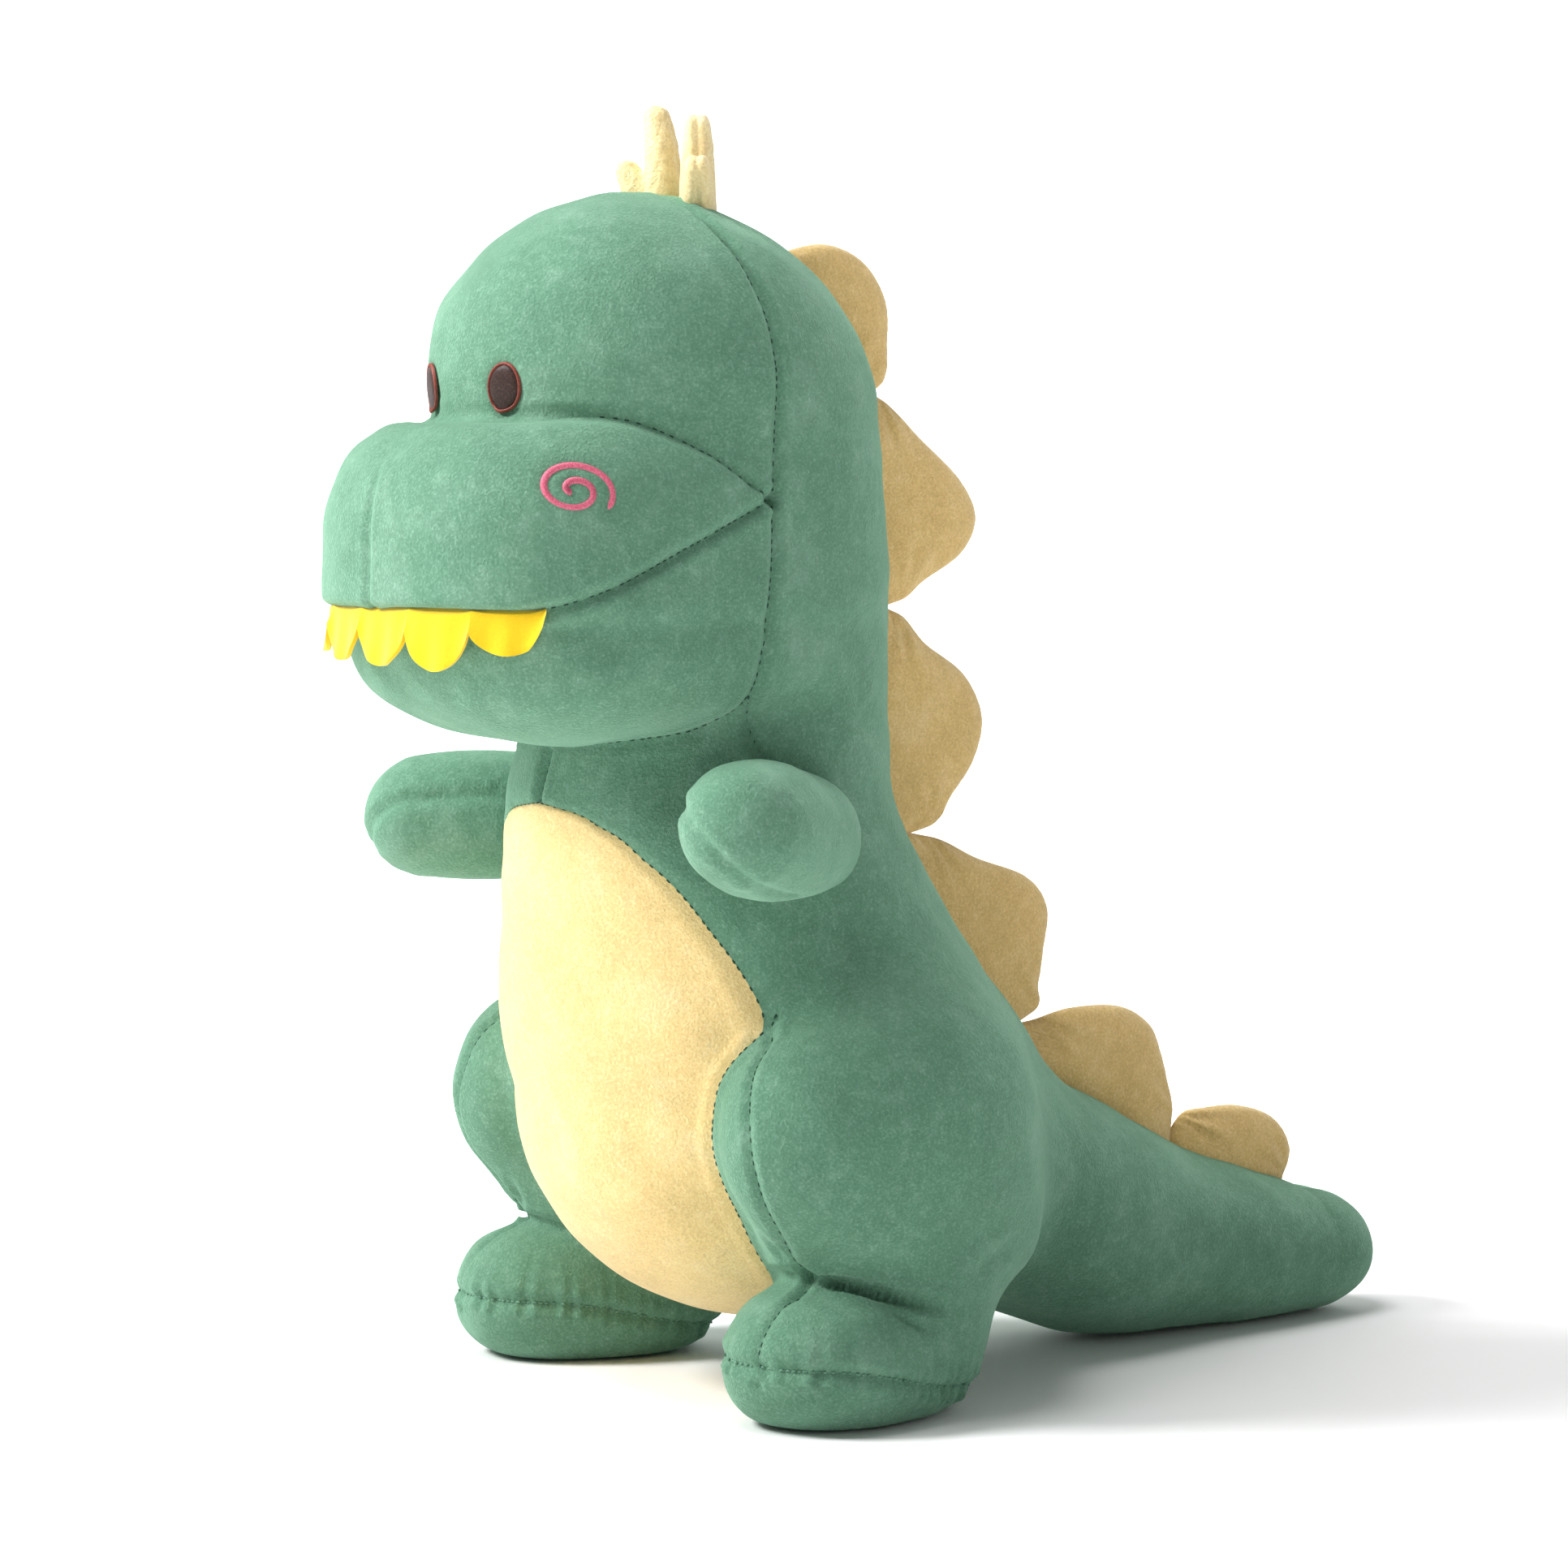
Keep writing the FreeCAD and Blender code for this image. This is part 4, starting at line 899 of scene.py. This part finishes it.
def crest_lobe(number, knots):
    """One stuffed lobe, pinched where it meets its neighbours, with a seam round its edge."""
    name = f"crest_lobe_{number}"
    thick = 0.0155 if number < 6 else 0.0135
    piece, share, side = pillow(name, knots, thick, HONEY)
    flat = points_of(piece)
    inflate(piece, 3.0, 0.004)
    points = points_of(piece)
    points[:, 1:] = flat[:, 1:] + (points - flat)[:, 1:] * (1 - share ** 2)[:, None]
    points[:, 0] *= min(1.0, thick * 0.62 / np.abs(points[:, 0]).max())
    for end in pinch_points(knots):
        gap = np.hypot(points[:, 1] - end[0], points[:, 2] - end[1])
        points[:, 0] *= 1 - 0.50 * np.exp(-(gap / 0.010) ** 2)
        angle = np.arctan2(points[:, 2] - end[1], points[:, 1] - end[0])
        pucker = np.sin(angle * 11 + number) * np.exp(-(gap / 0.018) ** 2) * rise(gap, 0.001, 0.006)
        points[:, 0] += side * 0.0012 * pucker
    angle = np.arctan2(points[:, 2] - points[:, 2].mean(), points[:, 1] - points[:, 1].mean())
    gather = np.sin(angle * 41 + number) * rise(share, 0.72, 0.95) * (share < 0.99)
    points[:, 0] += side * 0.00028 * gather
    set_points(piece, in_frame(points))
    subdivide(piece)
    body = f"crest_plate_{number}"
    flexing(piece)
    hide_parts(f"{body}_casing", f"{body}_stuffing")


def pinch_points(knots):
    """The two outline knots where the lobe meets its neighbours, at the ends of its free edge."""
    return np.array(knots[1]), np.array(knots[-3])


for number, knots in enumerate(CREST, start=1):
    crest_lobe(number, knots)


# ---- arms
def ball_form(name, centres, radii, material, voxel=0.0032):
    """A remeshed chain of balls, slightly small, ready to be inflated."""
    shrink = 0.93
    mesh = bpy.data.meshes.new(name)
    work = bmesh.new()
    for centre, radius in zip(centres, radii):
        made = bmesh.ops.create_icosphere(work, subdivisions=4, radius=radius * shrink)
        bmesh.ops.translate(work, verts=made["verts"], vec=Vector(centre))
    work.to_mesh(mesh)
    work.free()
    piece = bpy.data.objects.new(name, mesh)
    bpy.context.scene.collection.objects.link(piece)
    remesh = piece.modifiers.new("remesh", "REMESH")
    remesh.mode = "VOXEL"
    remesh.voxel_size = voxel
    smooth = piece.modifiers.new("smooth", "SMOOTH")
    smooth.factor = 0.5
    smooth.iterations = 8
    apply_modifiers(piece)
    piece.data.materials.append(material)
    return piece


def apply_modifiers(piece):
    """Replaces the piece's mesh with what its modifiers make of it, shaded smooth."""
    graph = bpy.context.evaluated_depsgraph_get()
    baked = bpy.data.meshes.new_from_object(piece.evaluated_get(graph))
    piece.modifiers.clear()
    piece.data = baked
    baked.polygons.foreach_set("use_smooth", [True] * len(baked.polygons))


ARM_ROOT = np.array([0.060, -0.004, 0.194])
ARM_TIP = np.array([0.0985, -0.0545, 0.197])
ARM_LIFT = {"left": 0.005, "right": -0.003}


def arm(side):
    sign = 1 if side == "left" else -1
    mirror = np.array([sign, 1, 1])
    share = np.linspace(0, 1, 9)
    tip = ARM_TIP + np.array([0, 0, ARM_LIFT[side]])
    centres = [(ARM_ROOT + (tip - ARM_ROOT) * s) * mirror for s in share]
    radii = [float(curve(s, [(0, 0.0225), (0.35, 0.0245), (0.7, 0.0255), (1, 0.0235)])) for s in share]
    piece = ball_form(f"arm_skin_{side}", centres, radii, GREEN)
    inflate(piece, 3.0, 0.0045)
    subdivide(piece)
    apply_modifiers(piece)
    points = points_of(piece)
    aim = (tip - ARM_ROOT) * mirror
    aim /= np.linalg.norm(aim)
    across = np.cross(aim, (0, 0, 1.0))
    across /= np.linalg.norm(across)
    upright = np.cross(across, aim)
    local = points - tip * mirror
    side_way, up_way, far_way = local @ across, local @ upright, local @ aim
    tilt = math.radians(-45) * sign
    seam = side_way * math.cos(tilt) + up_way * math.sin(tilt) - 0.009 * sign
    move = groove(seam, 0.0015, 0.0020) * rise(far_way, -0.05, -0.03)
    move += 0.0003 * soft_noise(points, 0.007, 21) * np.exp(-np.abs(seam) / 0.005)
    move += 0.0006 * soft_noise(points, 0.03, 22)
    set_points(piece, in_frame(points + normals_of(piece) * move[:, None]))
    flexing(piece)
    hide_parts(f"arm_upper_panel_{side}", f"arm_lower_panel_{side}", f"arm_stuffing_{side}")


for side in ("left", "right"):
    arm(side)


# ---- horns
HORN_AT = np.array([0.011, -0.0125, 0.404])
HORN_TURN = math.radians(55)


def horn(side):
    """A stuffed fork: a tall prong and a short one, flat enough to show the seam round its edge."""
    sign = 1 if side == "left" else -1
    across = np.array([sign * math.sin(HORN_TURN), -math.cos(HORN_TURN), 0])
    high = 0.88 if side == "left" else 1.0
    tall = [(-0.001, -0.004, 0.0076), (-0.001, 0.010 * high, 0.0072), (0.0, 0.023 * high, 0.0064),
            (0.0015, 0.0330 * high, 0.0053)]
    short = [(0.004, 0.000, 0.0066), (0.009, 0.008, 0.0058), (0.0125, 0.0150, 0.0050)]
    balls = []
    for chain in (tall, short):
        chain = np.array(chain)
        for a, b in zip(chain, chain[1:]):
            balls += [a + (b - a) * t for t in np.linspace(0, 1, 6)]
    root = HORN_AT * np.array([sign, 1, 1])
    centres = [root + across * b[0] + np.array([0, 0, b[1]]) for b in balls]
    piece = ball_form(f"horn_skin_{side}", centres, [b[2] for b in balls], PALE, 0.0011)
    inflate(piece, 2.0, 0.0012)
    points = points_of(piece)
    through = np.cross(across, (0, 0, 1.0))
    depth = (points - root) @ through
    points = points - through * (depth * 0.05)[:, None]
    move = groove((points - root) @ through, 0.0011, 0.0012)
    move += 0.00018 * soft_noise(points, 0.004, 31)
    set_points(piece, in_frame(points + normals_of(piece) * move[:, None]))
    subdivide(piece)
    flexing(piece)
    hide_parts(f"horn_casing_{side}", f"horn_stuffing_{side}")


for side in ("left", "right"):
    horn(side)


# ---- embroidery and teeth
def ribbon(name, centre_line, width, high, material, closed=False):
    """A raised satin-stitch line along points on the skin, with tapered ends unless it is closed."""
    line = np.array(centre_line)
    count = len(line)
    if closed:
        along = np.roll(line, -1, axis=0) - np.roll(line, 1, axis=0)
    else:
        along = np.gradient(line, axis=0)
    along /= np.linalg.norm(along, axis=1, keepdims=True)
    normal, _ = slope(form, line)
    across = np.cross(normal, along)
    lanes = 9
    angles = np.linspace(0, math.pi, lanes)
    fat = np.ones(count)
    if not closed:
        end = np.minimum(np.arange(count), np.arange(count)[::-1]) / 6
        fat = np.sqrt(np.clip(end, 0.02, 1))
    ridge = 1 + 0.10 * np.cos(np.arange(count) * math.pi)
    points = []
    for k in range(count):
        for angle in angles:
            sideways = across[k] * math.cos(angle) * width / 2 * fat[k]
            up = normal[k] * (math.sin(angle) * high * fat[k] * ridge[k] - 0.0003)
            points.append(line[k] + sideways + up)
    faces = []
    last = count if closed else count - 1
    for k in range(last):
        n = (k + 1) % count
        for j in range(lanes - 1):
            faces.append((k * lanes + j, n * lanes + j, n * lanes + j + 1, k * lanes + j + 1))
    return mesh_object(name, in_frame(np.array(points)), faces, material)


def eye(side):
    """A filled oval of upright satin stitches with a russet outline."""
    sign = 1 if side == "left" else -1
    rings, around = 9, 48
    turns = [2 * math.pi * k / around for k in range(around)]
    flat = [eye_oval(sign, ring / rings, turn) for ring in range(rings + 1) for turn in turns]
    on_skin = onto_skin(flat, (0, 1, 0))
    normal, _ = slope(form, on_skin)
    share = np.repeat(np.arange(rings + 1) / rings, around)
    stitch = 0.00006 * np.sin(on_skin[:, 0] * 2 * math.pi / 0.0009)
    lift = 0.0011 * np.sqrt(np.clip(1 - share ** 4, 0, 1)) + stitch - 0.0001
    points = on_skin + normal * lift[:, None]
    faces = []
    for ring in range(rings):
        for k in range(around):
            n = (k + 1) % around
            face = (ring * around + k, (ring + 1) * around + k, (ring + 1) * around + n, ring * around + n)
            faces.append(face if sign > 0 else tuple(reversed(face)))
    fill = mesh_object(f"eye_fill_{side}", in_frame(points), faces, BROWN)
    rim = ribbon(f"eye_rim_{side}", eye_outline(sign), 0.0011, 0.0010, RUSSET, closed=True)
    on_torso(fill, "brown_thread", f"eye_embroidery_{side}")
    on_torso(rim, "brown_thread")


def swirl(side):
    """The spiral in satin stitch on one cheek."""
    sign = 1 if side == "left" else -1
    piece = ribbon(f"cheek_swirl_skin_{side}", swirl_line(sign), 0.0024, 0.0009, PINK)
    on_torso(piece, "pink_thread", f"cheek_swirl_{side}")


for side in ("left", "right"):
    eye(side)
    swirl(side)


def lip_point(along):
    """A point on the lip at a distance from the middle of the nose, and the direction outwards there."""
    front, width, corner = 0.1355, 0.0745, 0.056
    flat_part = width - corner
    side = 1 if along >= 0 else -1
    far = abs(along)
    if far <= flat_part:
        return np.array([along, -front]), np.array([0.0, -1.0])
    turn = min((far - flat_part) / corner, math.pi / 2)
    spare = max(0.0, far - flat_part - corner * math.pi / 2)
    outward = np.array([side * math.sin(turn), -math.cos(turn)])
    middle = np.array([side * flat_part, corner - front])
    return middle + outward * corner + np.array([0, spare]), outward


# Width and depth of each tooth, from the toy's right cheek to its left.
TEETH = [(0.017, 0.013), (0.024, 0.017), (0.026, 0.019), (0.028, 0.020), (0.028, 0.021), (0.027, 0.0155)]
STRIP = 0.0080


def teeth():
    """Scalloped felt under the lip, from cheek to cheek."""
    whole = sum(width for width, _ in TEETH)
    edges = np.concatenate([[0], np.cumsum([width for width, _ in TEETH])]) - whole / 2
    samples, columns = 22, []
    for (width, depth), first in zip(TEETH, edges):
        for k in range(samples):
            t = k / samples
            bow = max(0.0, 1 - abs(2 * t - 1) ** 2.0) ** 0.75
            along = first + width * t
            ends = min(along - edges[0], edges[-1] - along)
            strip = STRIP * math.sqrt(min(1.0, ends / 0.006 + 0.02))
            columns.append((along, strip + (depth - STRIP) * bow))
    columns.append((edges[-1], STRIP * math.sqrt(0.02)))
    rows = 9
    top = 0.2730
    outer, inner = [], []
    for along, depth in columns:
        place, outward = lip_point(along)
        start = (*(place + outward * 0.006), top - 0.002)
        on = onto_skin([start], (*-outward, 0))[0]
        for r in range(rows):
            t = r / (rows - 1)
            flare = 0.0010 + 0.0022 * t ** 1.5 - 0.0030 * rise(-t, -0.12, 0.0)
            wave = 0.0005 * math.sin(along * 520 + 1.3) * t
            spot = on[:2] + outward * (flare + wave)
            outer.append((spot[0], spot[1], top - depth * t))
            thin = spot - outward * 0.0017
            inner.append((thin[0], thin[1], top - depth * t))
    n = len(columns)
    points = outer + inner
    faces = []
    for c in range(n - 1):
        for r in range(rows - 1):
            a, b = c * rows + r, (c + 1) * rows + r
            faces.append((a, a + 1, b + 1, b))
            shift = n * rows
            faces.append((shift + a, shift + b, shift + b + 1, shift + a + 1))
        for r, flip in ((0, False), (rows - 1, True)):
            a, b = c * rows + r, (c + 1) * rows + r
            face = (a, b, b + n * rows, a + n * rows)
            faces.append(tuple(reversed(face)) if flip else face)
    for c, flip in ((0, True), (n - 1, False)):
        for r in range(rows - 1):
            a = c * rows + r
            face = (a, a + 1, a + 1 + n * rows, a + n * rows)
            faces.append(tuple(reversed(face)) if flip else face)
    piece = mesh_object("teeth_felt", in_frame(np.array(points)), faces, YELLOW)
    bevel = piece.modifiers.new("soft_edge", "BEVEL")
    bevel.width = 0.0004
    bevel.segments = 2
    bevel.limit_method = "ANGLE"
    on_torso(piece, "yellow_felt", "felt_teeth")


teeth()


# ---- floor, light and camera
VIEW = (-0.816, 0.578)    # the way the camera looks, seen from above


def floor():
    """A pale floor that sweeps up behind the toy and fades to white away from it."""
    material, tree, shader = new_material("pale_floor")
    shader.inputs["Roughness"].default_value = 0.8
    tone = noise(tree, 3.0, 2)
    tree.links.new(ramp(tree, tone, [(0.3, (0.90, 0.90, 0.90)), (0.7, (0.93, 0.93, 0.93))]),
                   shader.inputs["Base Color"])
    place = tree.nodes.new("ShaderNodeTexCoord")
    far = tree.nodes.new("ShaderNodeVectorMath")
    far.operation = "LENGTH"
    tree.links.new(place.outputs["Object"], far.inputs[0])
    fade = tree.nodes.new("ShaderNodeMapRange")
    fade.inputs["From Min"].default_value = 0.25
    fade.inputs["From Max"].default_value = 0.75
    fade.inputs["To Max"].default_value = 0.9
    tree.links.new(far.outputs["Value"], fade.inputs["Value"])
    shader.inputs["Emission Color"].default_value = (1, 1, 1, 1)
    tree.links.new(fade.outputs["Result"], shader.inputs["Emission Strength"])
    away = np.array(VIEW)
    across = np.array([away[1], -away[0]])
    profile = [(-12.0, 0.0), (2.2, 0.0)]
    profile += [(2.2 + math.sin(t), 1 - math.cos(t)) for t in np.linspace(0.1, math.pi / 2, 14)]
    profile += [(3.2, 4.0)]
    points = [(*(away * far_off + across * side), high) for far_off, high in profile for side in (-12, 12)]
    faces = [(2 * k, 2 * k + 1, 2 * k + 3, 2 * k + 2) for k in range(len(profile) - 1)]
    mesh_object("floor", points, faces, material)


def light(name, place, size, power):
    """A round soft light aimed at the middle of the toy."""
    lamp = bpy.data.lights.new(name, "AREA")
    lamp.shape = "DISK"
    lamp.size = size
    lamp.energy = power
    piece = bpy.data.objects.new(name, lamp)
    piece.location = place
    piece.rotation_euler = (Vector((0, 0, 0.2)) - Vector(place)).to_track_quat("-Z", "Y").to_euler()
    bpy.context.scene.collection.objects.link(piece)


def studio():
    floor()
    light("key", (-0.75, -1.6, 1.6), 0.8, 62)
    light("top", (-0.10, -0.55, 2.1), 1.1, 26)
    light("fill", (2.2, 0.1, 0.9), 1.4, 3)
    world = bpy.data.worlds.new("studio")
    world.use_nodes = True
    world.node_tree.nodes["Background"].inputs["Color"].default_value = (1, 1, 1, 1)
    world.node_tree.nodes["Background"].inputs["Strength"].default_value = 0.15
    bpy.context.scene.world = world
    view = bpy.context.scene.view_settings
    view.view_transform = "Standard"
    view.exposure = 0.0


def camera():
    """At the photograph's angle: front left, a little above the belly, looking slightly down."""
    data = bpy.data.cameras.new("view")
    data.sensor_width = 36
    data.lens = 122.8
    piece = bpy.data.objects.new("view", data)
    place = Vector((1.518, -1.044 + FEET_Y, 0.334))
    down = math.radians(3.9)
    look = Vector((VIEW[0] * math.cos(down), VIEW[1] * math.cos(down), -math.sin(down)))
    piece.location = place
    piece.rotation_euler = look.to_track_quat("-Z", "Y").to_euler()
    bpy.context.scene.collection.objects.link(piece)
    bpy.context.scene.camera = piece


studio()
camera()
